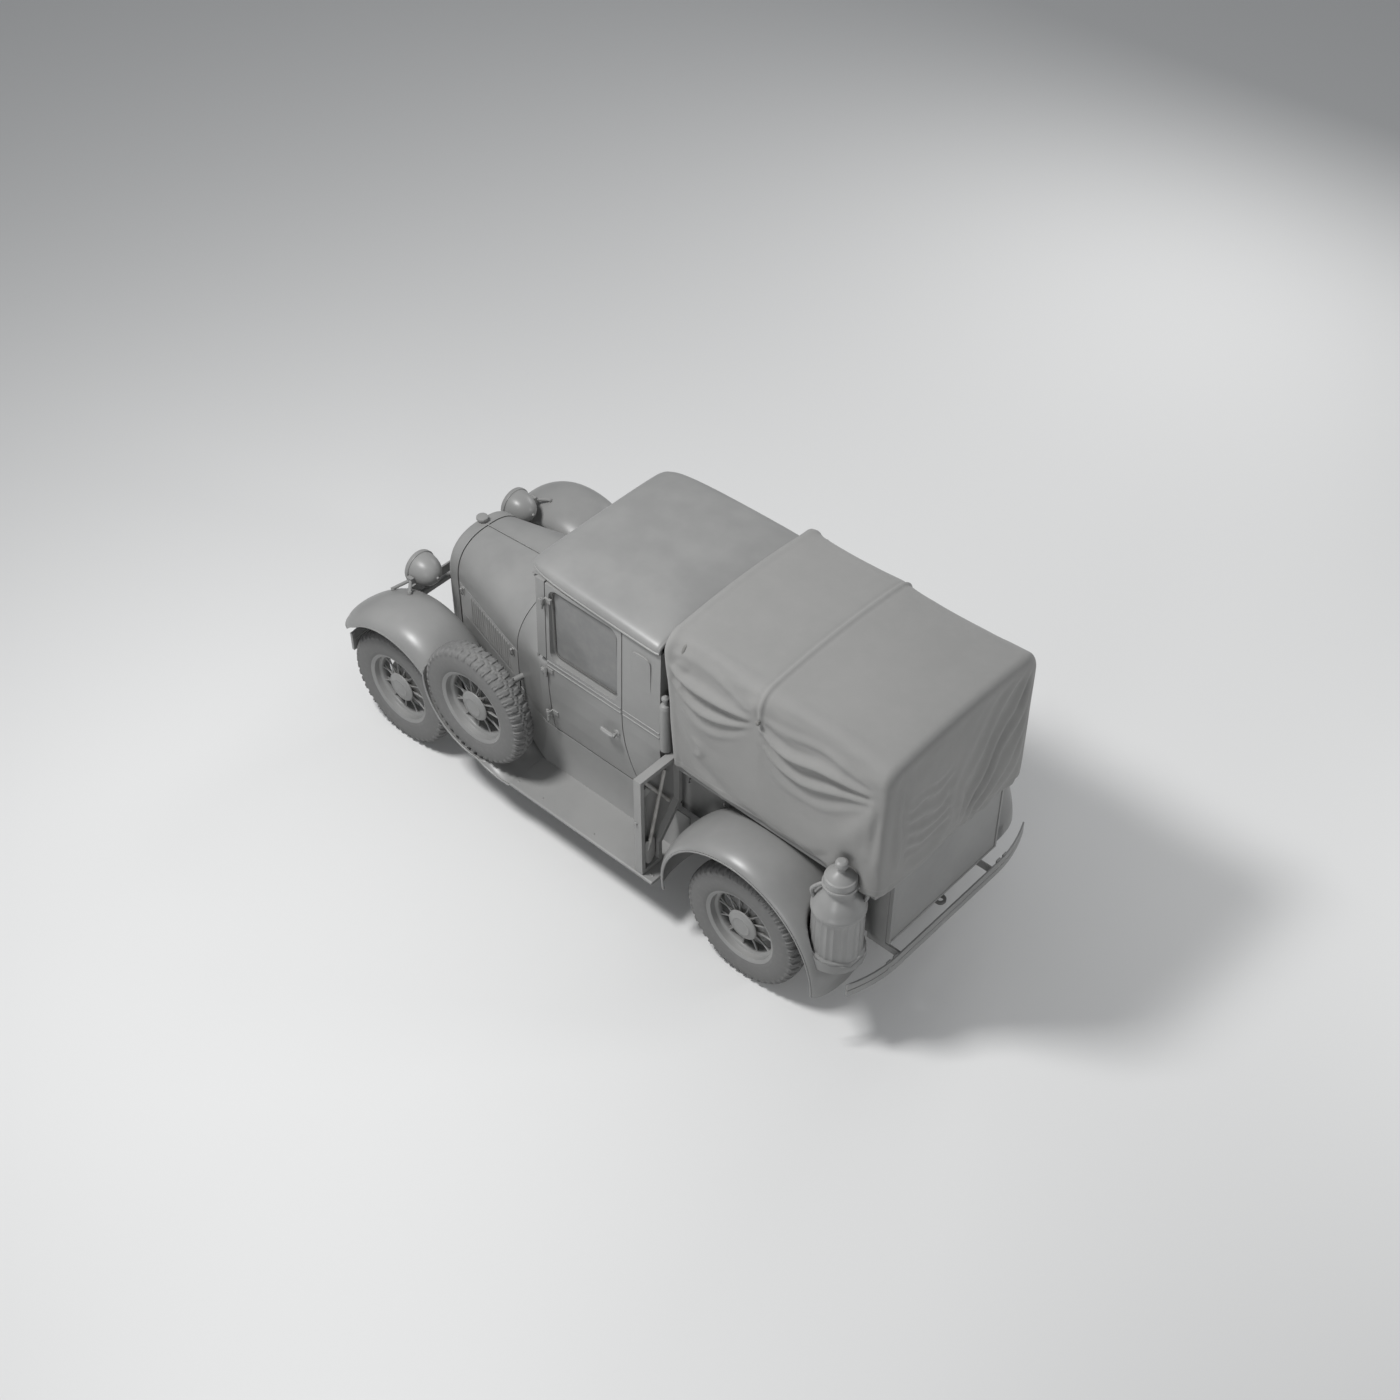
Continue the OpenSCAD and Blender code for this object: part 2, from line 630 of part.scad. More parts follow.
// Rear of the cab: back wall and the two quarter panels up to the doors
module cab_back() {
  color("gray") {
    difference() {
      union() {
        both_sides() intersection() {
          slab_x(cab_rear_x, door_rear_x) polygon(side_section(sill_z, roof_z));
          slab_y(0, half_w) polygon(concat(door_edge(door_gap),
            [[cab_rear_x, sill_z], [cab_rear_x, roof_z + 1]]));
        }
        slab_x(cab_rear_x, cab_rear_x + wall) polygon(concat(
          [for (i = [0:8]) let (z = mix(sill_z, roof_z, i / 8)) [side_y(z) - 4, z]],
          [for (i = [8:-1:0]) let (z = mix(sill_z, roof_z, i / 8)) [4 - side_y(z), z]]));
      }
      slab_x(cab_rear_x - 1, cab_rear_x + wall + 1) translate([-rear_window[0] / 2, rear_window_z])
        round_rect(rear_window[0], rear_window[1], 45);
    }
    both_sides() {
      belt_bead(cab_rear_x + 2, door_rear_x - door_gap - 4);
      slab_y(side_y(roof_z - 190) - 6, side_y(roof_z - 190) + 4) translate([cab_rear_x + 66, belt_z + 70])
        round_rect(130, window_wall - 150, 34);
    }
  }
}

// Roof: one crowned stamping with rounded front corners
module cab_roof() {
  // Place along the cab from the rear wall, half width, share of the rise
  stations = [[0, cab_half - 14, 0.66], [10, cab_half - 8, 0.8], [60, cab_half - 4, 0.92],
    [300, cab_half - 8, 1],
    [640, cab_half - 20, 1], [840, cab_half - 38, 0.9], [930, cab_half - 62, 0.62],
      [964, cab_half - 88, 0.34],
    [974, cab_half - 110, 0.16]];
  color("gray") loft([for (s = stations) at_x(cab_rear_x + s[0], concat(
    [[s[1] - 8, roof_z]], arch(s[1], roof_z + 6, roof_z + 12, roof_z + 12 + (roof_rise - 12) * s[2], 3.4,
      14),
    [[8 - s[1], roof_z]]))]);
}

// Windscreen: two pillars with hinge halves, header and lower rail, and the visor
module windscreen_frame() {
  inner_half = cab_half - 70;
  color("gray") {
    both_sides() {
      slab_x(pillar_x, screen_x) polygon(side_section(scuttle_z, roof_z));
      for (z = door_hinges) if (z > scuttle_z) pillar_hinge(z);
    }
    slab_x(pillar_x + 22, screen_x) translate([-inner_half - 20, roof_z - 52])
      square([2 * inner_half + 40, 52]);
    slab_x(pillar_x + 22, screen_x) translate([-inner_half - 20, scuttle_z])
      square([2 * inner_half + 40, 40]);
    translate([screen_x - 6, 0, roof_z - 34]) rotate([0, 16, 0]) translate([0, -inner_half, 0])
      cube([86, 2 * inner_half, 6]);
  }
}

// Floor of the cab with its sills
module cab_floor() {
  color("dimgray") {
    translate([cab_rear_x + 2, 62 - cab_half, frame_top_z])
      cube([fender_end_x - cab_rear_x - 2, 2 * cab_half - 124, floor_t]);
    translate([fender_end_x - 1, 14 - hood_rear_half, frame_top_z])
      cube([cowl_front_x - 28 - fender_end_x, 2 * hood_rear_half - 28, floor_t]);
    both_sides() translate([cab_rear_x + 2, cab_half - 90, frame_top_z])
      cube([fender_end_x - 6 - cab_rear_x, 44, sill_z - frame_top_z - seat_gap]);
  }
}

// Windscreen and rear window panes
module cab_glass() {
  pane = [2 * (cab_half - 18 - wall - seat_gap), roof_z - 92 - scuttle_z - 2 * seat_gap];
  color("lightgray") {
    translate([screen_x - 24, -pane[0] / 2, scuttle_z + 40 + seat_gap]) cube([6, pane[0], pane[1]]);
    slab_x(cab_rear_x + 16, cab_rear_x + 22)
      translate([seat_gap - rear_window[0] / 2, rear_window_z + seat_gap])
      round_rect(rear_window[0] - 2 * seat_gap, rear_window[1] - 2 * seat_gap, 45);
  }
}

// Bench seat: base box, cushion and leaning back
module bench_seat() {
  half = cab_half - 80;
  back_x = cab_rear_x + wall + 4;
  color("dimgray") {
    translate([back_x + 70, 40 - half, floor_z]) cube([380, 2 * half - 80, 191]);
    translate([back_x + 60, -half, floor_z + 190]) cube([430, 2 * half, 130]);
    translate([back_x + 62, -half, floor_z + 300]) rotate([0, -8, 0]) cube([90, 2 * half, 440]);
  }
}

// Steering
column_y = cab_half - 278;
column_foot = [cowl_front_x + 10, column_y, frame_top_z + 105];
column_head = [cab_rear_x + 590, column_y, belt_z - 20];
column_dir = (column_head - column_foot) / norm(column_head - column_foot);
column_tilt = acos(column_dir.z);

module steering_column() {
  color("dimgray") {
    rod(column_foot, column_head - 14 * column_dir, 19);
    rod(column_foot - 10 * column_dir, column_foot + 60 * column_dir, 46);
    translate([column_foot.x - 25, 320, frame_top_z + seat_gap]) cube([70, 50, 120]);
  }
}

module steering_wheel() {
  rim = 205;
  color("black") translate(column_head) rotate([0, -column_tilt, 0]) {
    rotate_extrude() translate([rim, 0]) circle(11);
    cylinder(r = 34, h = 22, center = true);
    for (a = [45:90:315]) rotate([0, 0, a]) translate([25, -9, -5]) cube([rim - 25, 18, 10]);
  }
}

// Fenders

// Ring of a crowned sheet across the truck at one station.
// crest_y is the highest line, out and in the reach to each side, drop_out and drop_in how far the edges
// fall.
function crown_ring(at, normal, crest_y, out, in, drop_out, drop_in, t = 5, steps = 6) = let (
    place = function (y, o) [at[0] + normal[0] * o, y, at[1] + normal[1] * o],
    side = function (k, reach, drop) concat(
      [for (i = [0:steps]) let (a = 90 * i / steps) place(crest_y + (reach - k) * cos(a),
        (drop - k) * sin(a) - drop)]))
  concat(side(0, out, drop_out),
    [for (i = [steps - 1:-1:0]) let (a = 90 * i / steps) place(crest_y - in * cos(a),
      drop_in * sin(a) - drop_in)],
    [for (i = [0:steps]) let (a = 90 * i / steps) place(crest_y - (in - t) * cos(a),
      (drop_in - t) * sin(a) - drop_in)],
    reversed([for (i = [0:steps - 1]) let (a = 90 * i / steps)
      place(crest_y + (out - t) * cos(a), (drop_out - t) * sin(a) - drop_out)]));

front_crest_y = 680;
front_in_y = 440;
front_drop_out = 92;
front_drop_in = 110;

// Point of the front fender's upper face inside the crest, at an angle round its arc, raised by a height
function fender_at(a, y, up) = let (
    c = (front_crest_y - y) / (front_crest_y - front_in_y), o = front_drop_in * (sqrt(1 - c * c) - 1),
    p = fender_centre + (fender_crest_r + o + up) * [cos(a), sin(a)])
  [p[0], y, p[1]];

function fender_normal(a, y) = let (
    c = (front_crest_y - y) / (front_crest_y - front_in_y),
    n = [cos(a), -front_drop_in / (front_crest_y - front_in_y) * c / sqrt(1 - c * c), sin(a)])
  n / norm(n);

// Front fender: round over the wheel, then an S down to the running board
module front_fender() {
  c = fender_centre;
  // Stations along the crest: place, normal, share of the width, fall of the outer and of the inner edge
  nose = [0.62, 0.76, 0.87, 0.94, 0.98];
  over = [for (i = [0:18]) let (a = mix(24.5, fender_leave, i / 18), n = [cos(a), sin(a)],
    w = i < 5 ? nose[i] : 1)
    [c + fender_crest_r * n, n, w, front_drop_out * w, front_drop_in * w]];
  foot = [for (i = [0:8]) let (a = mix(fender_leave + 180, 270, i / 8), n = [cos(a), sin(a)])
    [fender_foot_c + fender_foot_r * n, -n, 1, mix(front_drop_out - 6, board_t, i / 8),
      mix(front_drop_in - 18, 14, i / 8)]];
  loft([for (s = concat(over, foot)) crown_ring(s[0], s[1], front_crest_y,
    (half_w - front_crest_y) * s[2],
    (front_crest_y - front_in_y) * s[2], s[3], s[4])], sheet = true);
}

lamp = [front_axle_x + 163, 378, 951];

// Front fenders with the spare wheel's well and the splash aprons
module front_fenders() {
  pan_r = tyre_r + 1;
  color("gray") {
    difference() {
      front_fender();
      translate(spare) rotate([90, 0, 0]) cylinder(r = pan_r + 2.5, h = tyre_w + 8, center = true);
    }
    translate(spare) intersection() {
      spin_y([[pan_r, -tyre_w / 2 - 8], [pan_r + 5, -tyre_w / 2 - 8], [pan_r + 5, tyre_w / 2 + 2],
        [pan_r, tyre_w / 2 + 2]]);
      translate([-230, -200, -600]) cube([460, 400, 320]);
    }
    mirror([0, 1, 0]) front_fender();
    both_sides() {
      // Splash apron under the hood
      loft([for (p = [[hood_rear_x, hood_rear_half], [hood_front_x, hood_front_half]])
        [[p[0], p[1], frame_top_z], [p[0], p[1], hood_bottom_z - panel_gap],
          [p[0], p[1] - 5, hood_bottom_z - panel_gap],
          [p[0], p[1] - 5, frame_top_z]]]);
    }
  }
}

rear_crest_y = 650;
rear_crest_r = 580;

module rear_fender() {
  c = [rear_axle_x, axle_z];
  // Angle round the wheel and crest radius: drawn in at the front foot, flared at the tail
  stations = [for (i = [0:16]) let (a = mix(-1, 184, i / 16))
    [a, rear_crest_r + (a > 120 ? 26 * pow((a - 120) / 64, 2) : 0) - (a < 60 ? 46 * pow((60 - a) / 62,
      2) : 0)]];
  loft([for (s = stations) let (n = [cos(s[0]), sin(s[0])]) crown_ring(c + s[1] * n, n,
    rear_crest_y, half_w - rear_crest_y, rear_crest_y - tub_half - 1, 62, 60)], sheet = true);
}

// Rear fenders; the left one has a pocket for the churn
module rear_fenders() {
  color("gray") {
    difference() {
      rear_fender();
      translate([churn.x, churn.y, churn.z - 14]) cylinder(r = churn_r + 8, h = churn_h);
      translate([churn.x - 14, tub_half - 10, churn.z - 16]) cube([74, 120, 20]);
    }
    mirror([0, 1, 0]) rear_fender();
  }
}

// Running boards with the aprons that close the gap below the body
module running_boards() {
  apron_t = 6;
  apron_out = board_in_y;
  apron_top = sill_z - 6;
  // Place along the truck, outer face and lower edge of the apron
  apron = concat([for (x = [board_rear_x, fender_end_x - 6]) [x, apron_out, board_top_z - 4]],
    [for (i = [0:6]) let (x = mix(fender_end_x, cowl_front_x, i / 6))
      [x, mix(apron_out, hood_rear_half, i / 6),
        fender_foot_c[1] - sqrt(fender_foot_r * fender_foot_r - pow(x - fender_end_x, 2)) + 18]]);
  color("gray") both_sides() {
    translate([board_rear_x, board_in_y - apron_t, board_top_z - board_t])
      cube([fender_end_x - seat_gap - board_rear_x, half_w - board_in_y + apron_t, board_t]);
    loft([for (p = apron) [[p[0], p[1], p[2]], [p[0], p[1], apron_top], [p[0], p[1] - apron_t, apron_top],
      [p[0], p[1] - apron_t, p[2]]]]);
  }
}

// Cargo

// Room that the churn needs, grown by a clearance
module churn_room(grow) {
  // Heights above the churn's foot where its handles end and where its neck begins
  handle_z = 442;
  neck_z = 500;
  translate(churn) {
    translate([0, 0, -14]) cylinder(r = churn_r + 4 + grow, h = handle_z + 14);
    translate([0, 0, handle_z]) cylinder(r1 = churn_r + 4 + grow, r2 = 92 + grow, h = neck_z - handle_z);
    translate([0, 0, neck_z]) cylinder(r = 92 + grow, h = churn_h - neck_z + grow);
  }
}

// Tub: floor, upright sides with flared rails, front wall, and the shelf that carries the churn
module cargo_tub() {
  color("gray") {
    difference() {
      both_sides() {
        slab_x(tub_rear_x, tub_front_x) translate([tub_half - tub_wall, tub_z])
          square([tub_wall, tub_flare_z - tub_z + 12]);
        slab_x(tub_rear_x, flare_front_x)
          polygon([[tub_half - tub_wall, tub_flare_z], [tub_half, tub_flare_z],
          [rail_out_y, rail_top_z - 26], [rail_out_y, rail_top_z], [rail_out_y - 36, rail_top_z],
          [tub_half - tub_wall, tub_flare_z + 20]]);
      }
      churn_room(8);
    }
    translate([tub_rear_x, -tub_half, tub_z]) cube([tub_front_x - tub_rear_x, 2 * tub_half, 26]);
    translate([tub_front_x - tub_wall, -tub_half, tub_z])
      cube([tub_wall, 2 * tub_half, rail_top_z - tub_z]);
    translate([churn.x, churn.y, churn.z - 12]) cylinder(r = churn_r + 2, h = 12 - seat_gap);
    translate([churn.x - 10, tub_half - 5, churn.z - 12]) cube([66, churn.y - tub_half, 12 - seat_gap]);
  }
}

// Tailgate: sheet panel with a raised border
module tailgate() {
  t = 22;
  border = 14;
  size = [2 * tub_half - 12, rail_top_z + 30 - tub_z];
  color("gray") difference() {
    slab_x(tub_rear_x - t, tub_rear_x - seat_gap) translate([-size[0] / 2, tub_z]) square(size);
    slab_x(tub_rear_x - t - 1, tub_rear_x - t + 5) translate([border - size[0] / 2, tub_z + border])
      square([size[0] - 2 * border, size[1] - 2 * border]);
  }
}

// Outline of the tilt in Y and Z: upright sides, rounded edges, slightly crowned top
function tilt_arch(half, low, top, r) = let (
    crown = 24,
    corner = [for (i = [0:6]) let (a = 84 * i / 6) [half - r + r * cos(a), top - crown - r + r * sin(a)]])
  concat([[half, low]], corner, [for (k = [0.66, 0.33, 0, -0.33, -0.66]) [k * (half - r),
    top - crown * k * k]],
    [for (p = reversed(corner)) [-p[0], p[1]]], [[-half, low]]);

tilt_corner_r = 110;
tilt_sag = 12;

// Ring of the tilt at a station; rake leans the front end
function tilt_ring(x, half, low, top, r, rake) = [for (p = tilt_arch(half, low, top, r))
  [x - rake * (tilt_top_z - p[1]) / (tilt_top_z - hem_z), p[0], p[1]]];

// Stations from the rear to the front: place, drawn in at the sides, lowered at the top
function tilt_stations(back) = [[tilt_rear_x + back, 46, 56], [tilt_rear_x + back + 12, 20, 26],
  [tilt_rear_x + back + 36, 3, 4],
  [bow_xs[2] + 10, 0, 0], [mix(bow_xs[2], bow_xs[1], 0.5), 4, tilt_sag], [bow_xs[1], 0, 0],
  [mix(bow_xs[1], bow_xs[0], 0.5), 4, tilt_sag], [bow_xs[0], 0, 0], [tilt_front_x, 0, 0]];

module tilt_body(inset, low, back, front) {
  stations = tilt_stations(back);
  loft([for (i = [0:len(stations) - 1]) let (s = stations[i], last = i == len(stations) - 1)
    tilt_ring(s[0] + (last ? front : 0), tilt_half - inset - s[1], low, tilt_top_z - inset - s[2],
      tilt_corner_r - inset, last ? tilt_rake : 0)]);
}

// Tilt: canvas over three bows, sagging between them, raked and open at the front, closed at the rear
module tilt_canvas() {
  color("darkgray") difference() {
    tilt_body(0, hem_z, 0, 0);
    churn_room(8);
    difference() {
      tilt_body(canvas_t, hem_z - 20, canvas_t, 40);
      churn_room(8 + canvas_t);
    }
  }
}

// Bows: bent tubes that stand on the tub's rails
module tilt_bows() {
  bend_r = tilt_corner_r - canvas_t - bow_clear - bow_r;
  bend = [bow_y - bend_r, tilt_top_z - 24 - tilt_corner_r];
  // Middle line in Y and Z, with the direction towards the outside
  half_path = concat([[[bow_y, rail_top_z + seat_gap], 0]],
    [for (a = [0:15:90]) [bend + bend_r * [cos(a), sin(a)], a]]);
  path = concat(half_path, [for (p = reversed(half_path)) [[-p[0][0], p[0][1]], 180 - p[1]]]);
  color("gray") for (x = bow_xs) loft([for (p = path) [for (k = [0:11]) let (c = bow_r * cos(30 * k))
    [x + bow_r * sin(30 * k), p[0][0] + c * cos(p[1]), p[0][1] + c * sin(p[1])]]]);
}

// Bumpers

// Plan of a bar that bends back towards its ends
module bumper_plan(half, bend_y, back, t) {
  function off(y) = abs(y) < bend_y ? 0 : back * pow((abs(y) - bend_y) / (half - bend_y), 2);
  ys = concat([for (i = [-6:0]) mix(-bend_y, -half, -i / 6)], [for (i = [0:6]) mix(bend_y, half, i / 6)]);
  polygon(concat([for (y = ys) [-off(y), y]], [for (y = reversed(ys)) [-off(y) - t, y]]));
}

// Front bumper: two bars, end plates and arms to the rails
module front_bumper() {
  half = wheel_y + 53;
  bars = [[431, 58], [499, 58]];
  back = 48;
  x = overall_length / 2;
  color("gray") {
    for (b = bars) translate([x, 0, b[0]]) linear_extrude(b[1]) bumper_plan(half, 300, back, 12);
    both_sides() {
      translate([x - back - 14, half - 22, bars[0][0]])
        cube([18, 22, bars[1][0] + bars[1][1] - bars[0][0]]);
      translate([front_axle_x + 180, rail_y + seat_gap, frame_top_z - 66])
        cube([x - front_axle_x - 190, 12, 44]);
      translate([x - 14, rail_y - 22, bars[0][0] + 6])
        cube([7, 56, bars[1][0] + bars[1][1] - bars[0][0] - 12]);
    }
  }
}

// Rear bumper: two bars, clamp plates with round bolts, and arms to the rails
module rear_bumper() {
  half = wheel_y + 36;
  bars = [[374, 42], [422, 42]];
  x = -overall_length / 2;
  color("gray") {
    for (b = bars) translate([x, 0, b[0]]) mirror([1, 0, 0]) linear_extrude(b[1])
      bumper_plan(half, 420, 70, 10);
    both_sides() {
      translate([tub_rear_x + 160, rail_y + seat_gap, 398]) rotate([0, 0, 0])
        translate([x + 8 - tub_rear_x - 160, 0, 0]) cube([tub_rear_x + 160 - x - 8, 12, 46]);
      for (y = [rail_y + 55, rail_y + 110]) {
        translate([x + 9, y - 16, bars[0][0] - 6])
          cube([8, 32, bars[1][0] + bars[1][1] - bars[0][0] + 12]);
        translate([x + 2, y, bars[0][0] + bars[0][1] + 3]) rotate([0, 90, 0]) cylinder(r = 14, h = 10);
      }
      translate([x + 10, rail_y - 10, 400]) cube([7, 142, 40]);
    }
  }
}

// Lamps

function lamp_bowl() = [for (i = [0:9]) let (t = i / 9) [98 * sqrt(1 - pow(1 - t, 2)) * lamp_r / 104,
  -138 * (1 - t)]];

module headlamps() {
  color("gray") both_sides() translate(lamp) rotate([0, 90, 0]) rotate_extrude()
    polygon(concat(lamp_bowl(), [[lamp_r, 2], [lamp_r, 26], [lamp_r - 12, 31], [lamp_r - 12, 20],
      [0, 20]]));
}

module headlamp_lenses() {
  color("white") both_sides() translate(lamp) rotate([0, 90, 0]) rotate_extrude()
    polygon([[0, 20 + seat_gap], [lamp_r - 12 - seat_gap, 20 + seat_gap], [lamp_r - 12 - seat_gap, 27],
      [lamp_r * 0.6, 34], [0, 38]]);
}

// Bar in front of the radiator that ties the two lamps together, and the lamps' brackets on the fenders
module lamp_bar() {
  low = lamp.z - 136;
  head = [lamp.x - 30, lamp.y + 110, lamp.z - 6];
  color("gray") {
    rod([lamp.x - 36, -front_in_y + 8, low], [lamp.x - 36, front_in_y - 8, low], 13);
    both_sides() {
      rod([lamp.x - 36, lamp.y, low], [lamp.x - 36, lamp.y, lamp.z - 98.7 * lamp_r / 104], 15);
      // Two struts from the fender to the lamp's side
      for (a = [78, 61]) {
        foot = fender_at(a, 560, 0.8);
        rod(foot, foot + 16 * fender_normal(a, 560), 13);
        rod(foot + 9 * fender_normal(a, 560), head, 10);
      }
      translate(head - [20, 11, 20]) cube([40, 24, 40]);
    }
  }
}

// Wheels: axis along Y, outer face towards +Y, centre at the origin

module tyre(at, flip) {
  w = tyre_w / 2;
  base = tyre_r - lug_depth;
  color("dimgray") translate(at) mirror([0, flip ? 1 : 0, 0]) {
    spin_y([[rim_r + 0.3, -53.4], [rim_r + 16, -59.6], [rim_r + 42, 3 - w], [rim_r + 84, -w],
      [base - 30, 10 - w], [base - 6, 26 - w],
      [base, 44 - w], [base, w - 44], [base - 6, w - 26], [base - 30, w - 10], [rim_r + 84, w],
        [rim_r + 42, w - 3],
      [rim_r + 16, 59.6], [rim_r + 0.3, 53.4]]);
    for (i = [0:lugs - 1], s = side_signs) rotate([0, (i + (s > 0 ? 0 : 0.5)) * 360 / lugs, 0])
      translate([base - 26, s > 0 ? 8 : 13 - w, -0.28 * tyre_r * 6.283 / lugs])
        cube([lug_depth + 26, w - 21, 0.56 * tyre_r * 6.283 / lugs]);
  }
}

module wheel(at, flip, drum) {
  hub_r = 58;
  hub_in = drum ? -18 : -50;
  well = rim_r - 20;
  color("gray") translate(at) mirror([0, flip ? 1 : 0, 0]) {
    spin_y([[rim_r, -54], [rim_r + 15, -60.3], [rim_r + 15, -65], [rim_r - 6, -58], [rim_r - 8, -24],
      [well - 6, -16], [well - 6, 16],
      [rim_r - 8, 24], [rim_r - 6, 58], [rim_r + 15, 65], [rim_r + 15, 60.3], [rim_r, 54],
        [rim_r - 2, 22], [well, 14], [well, -14],
      [rim_r - 2, -22]]);
    difference() {
      union() {
        spin_y([[0, hub_in], [hub_r, hub_in], [hub_r, 30], [hub_r + 16, 34], [hub_r + 16, 40], [0, 40]]);
        intersection() {
          translate([0, 56 - 284, 0]) sphere(284);
          rotate([-90, 0, 0]) translate([0, 0, 36]) cylinder(r = hub_cap_r, h = 40);
        }
        if (drum) spin_y([[0, -26], [drum_r, -26], [drum_r + 4, -22], [drum_r + 4, -17], [0, -17]]);
        if (drum) spin_y([[drum_r - 6, -46], [drum_r + 4, -46], [drum_r + 4, -20], [drum_r - 6, -20]]);
      }
      if (drum) rotate([-90, 0, 0]) translate([0, 0, -60]) cylinder(r = spindle_r + running_fit, h = 99);
    }
    // Two rows of crossed spokes: height at the hub, height at the rim, lean round the wheel
    for (row = [[24, -6, 9], [2, 7, -9]], i = [0:spokes_per_row - 1]) {
      a = (i + (row[2] > 0 ? 0 : 0.5)) * 360 / spokes_per_row;
      rod([(hub_r - 4) * cos(a), row[0], (hub_r - 4) * sin(a)],
        [(well - 3) * cos(a + row[2]), row[1], (well - 3) * sin(a + row[2])], 5.5);
    }
  }
}

// Place and hand of each wheel: front left, front right, rear left, rear right, spare
places = [[[front_axle_x, wheel_y, axle_z], false], [[front_axle_x, -wheel_y, axle_z], true],
  [[rear_axle_x, wheel_y, axle_z], false], [[rear_axle_x, -wheel_y, axle_z], true], [spare, false]];

module tyre_front_left() { tyre(places[0][0], places[0][1]); }
module tyre_front_right() { tyre(places[1][0], places[1][1]); }
module tyre_rear_left() { tyre(places[2][0], places[2][1]); }
module tyre_rear_right() { tyre(places[3][0], places[3][1]); }
module tyre_spare() { tyre(places[4][0], places[4][1]); }
module wheel_front_left() { wheel(places[0][0], places[0][1], true); }
module wheel_front_right() { wheel(places[1][0], places[1][1], true); }
module wheel_rear_left() { wheel(places[2][0], places[2][1], true); }
module wheel_rear_right() { wheel(places[3][0], places[3][1], true); }
module wheel_spare() { wheel(places[4][0], places[4][1], false); }

// Left steering knuckle: fork on the kingpin, spindle, brake plate and steering arm
module knuckle() {
  color("dimgray") translate([front_axle_x, kingpin_y, axle_z]) {
    cylinder(r = kingpin_r, h = 116, center = true);
    for (s = side_signs) translate([0, 0, s * 48]) {
      cylinder(r = 21, h = 20, center = true);
      translate([-21, 0, -10]) cube([42, plate_y - 3 - kingpin_y, 20]);
    }
    translate([-21, plate_y - 9 - kingpin_y, -58]) cube([42, 8, 116]);
    translate([0, plate_y - 5 - kingpin_y, 0]) rotate([-90, 0, 0]) cylinder(r = drum_r - 2, h = 5);
    translate([0, plate_y - 1 - kingpin_y, 0]) rotate([-90, 0, 0])
      cylinder(r = spindle_r, h = wheel_y + 39 - plate_y);
    rod([0, 0, -50], [-arm_back, 0, -50], 11);
    translate([-arm_back, 0, -62]) cylinder(r = 15, h = 24);
    translate([-arm_back, 0, tie_z - axle_z - 17]) cylinder(r = tie_pin_r, h = 40);
  }
}
module knuckle_left() { knuckle(); }
module knuckle_right() { mirror([0, 1, 0]) knuckle(); }

// Tie rod between the two steering arms
module tie_rod() {
  y = kingpin_y;
  x = front_axle_x - arm_back;
  color("dimgray") difference() {
    union() {
      rod([x, -y, tie_z - 6], [x, y, tie_z - 6], 10);
      for (s = side_signs) translate([x, s * y, tie_z - 16]) cylinder(r = 16, h = 22);
    }
    translate([x, y, tie_z - 30]) cylinder(r = tie_pin_r + running_fit, h = 60);
    translate([x, -y, tie_z - 30]) cylinder(r = tie_pin_r + 0.5, h = 60);
  }
}

// Fittings

board_out_y = half_w - 10;

// Inner side of the tray above the rear fender and at its foot
tray_in_y = tub_half + 65;
tray_foot_y = mix(tray_in_y, board_out_y, 0.511);
tray_w = board_out_y - tray_in_y;

function board_outline(inset) = let (low = board_top_z + seat_gap, high = board_top_z + board_h - inset)
  [[tray_foot_y + inset, low + inset], [board_out_y - inset, low + inset], [board_out_y - inset, high],
    [tray_in_y + inset, high], [tray_in_y + inset, board_top_z + 344 + 0.4 * inset],
    [tray_foot_y + inset, board_top_z + 140 + 0.4 * inset]];

// Tool board: shallow tray on the left running board, open to the rear
module tool_board() {
  color("gray") {
    difference() {
      slab_x(tool_x, tool_x + tool_t) polygon(board_outline(0));
      slab_x(tool_x - 1, tool_x + tool_t - 12) polygon(board_outline(26));
    }
    rod([tool_x + 38, board_out_y - 4, board_top_z + 380],
      [tool_x + 38, board_out_y + 8, board_top_z + 380], 10);
  }
}

// Axe and shovel in the tray
module tools() {
  axe_x = tool_x + tool_t - 22.5;
  shovel_x = tool_x + 9;
  z = board_top_z;
  color("dimgray") {
    rod([axe_x, tray_in_y + 0.222 * tray_w, z + 375], [axe_x, tray_in_y + 0.787 * tray_w, z + 655], 9);
    translate([axe_x - 8, tray_in_y + 0.667 * tray_w, z + 560]) rotate([-32, 0, 0])
      cube([16, 0.127 * tray_w, 80]);
    rod([shovel_x, tray_in_y + 0.752 * tray_w, z + 200], [shovel_x, tray_in_y + 0.381 * tray_w, z + 660],
      9);
    translate([shovel_x - 3, tray_in_y + 0.625 * tray_w, z + 40]) cube([6, 0.254 * tray_w, 180]);
  }
}

// Churn: banded base, fluted body, shoulder, neck, lid with its knob, and two side handles
module churn() {
  r = churn_r;
  top = churn_h;
  color("gray") translate(churn) {
    rotate_extrude() polygon([[0, 0], [r, 0], [r, 34], [r - 6, 38], [r - 6, 330], [r, 336], [r, 352],
      [r - 8, 364], [r - 26, 410],
      [r - 52, 450], [80, 476], [80, 500], [86, 506], [86, 560], [80, 572], [52, 590], [30, 596],
        [24, top - 44], [34, top - 30],
      [34, top - 12], [22, top], [0, top]]);
    for (a = [35, 215]) rotate([0, 0, a]) {
      rod([r - 16, 0, 380], [r - 2, 0, 440], 8);
      rod([r - 2, 0, 436], [84, 0, 492], 8);
    }
  }
}

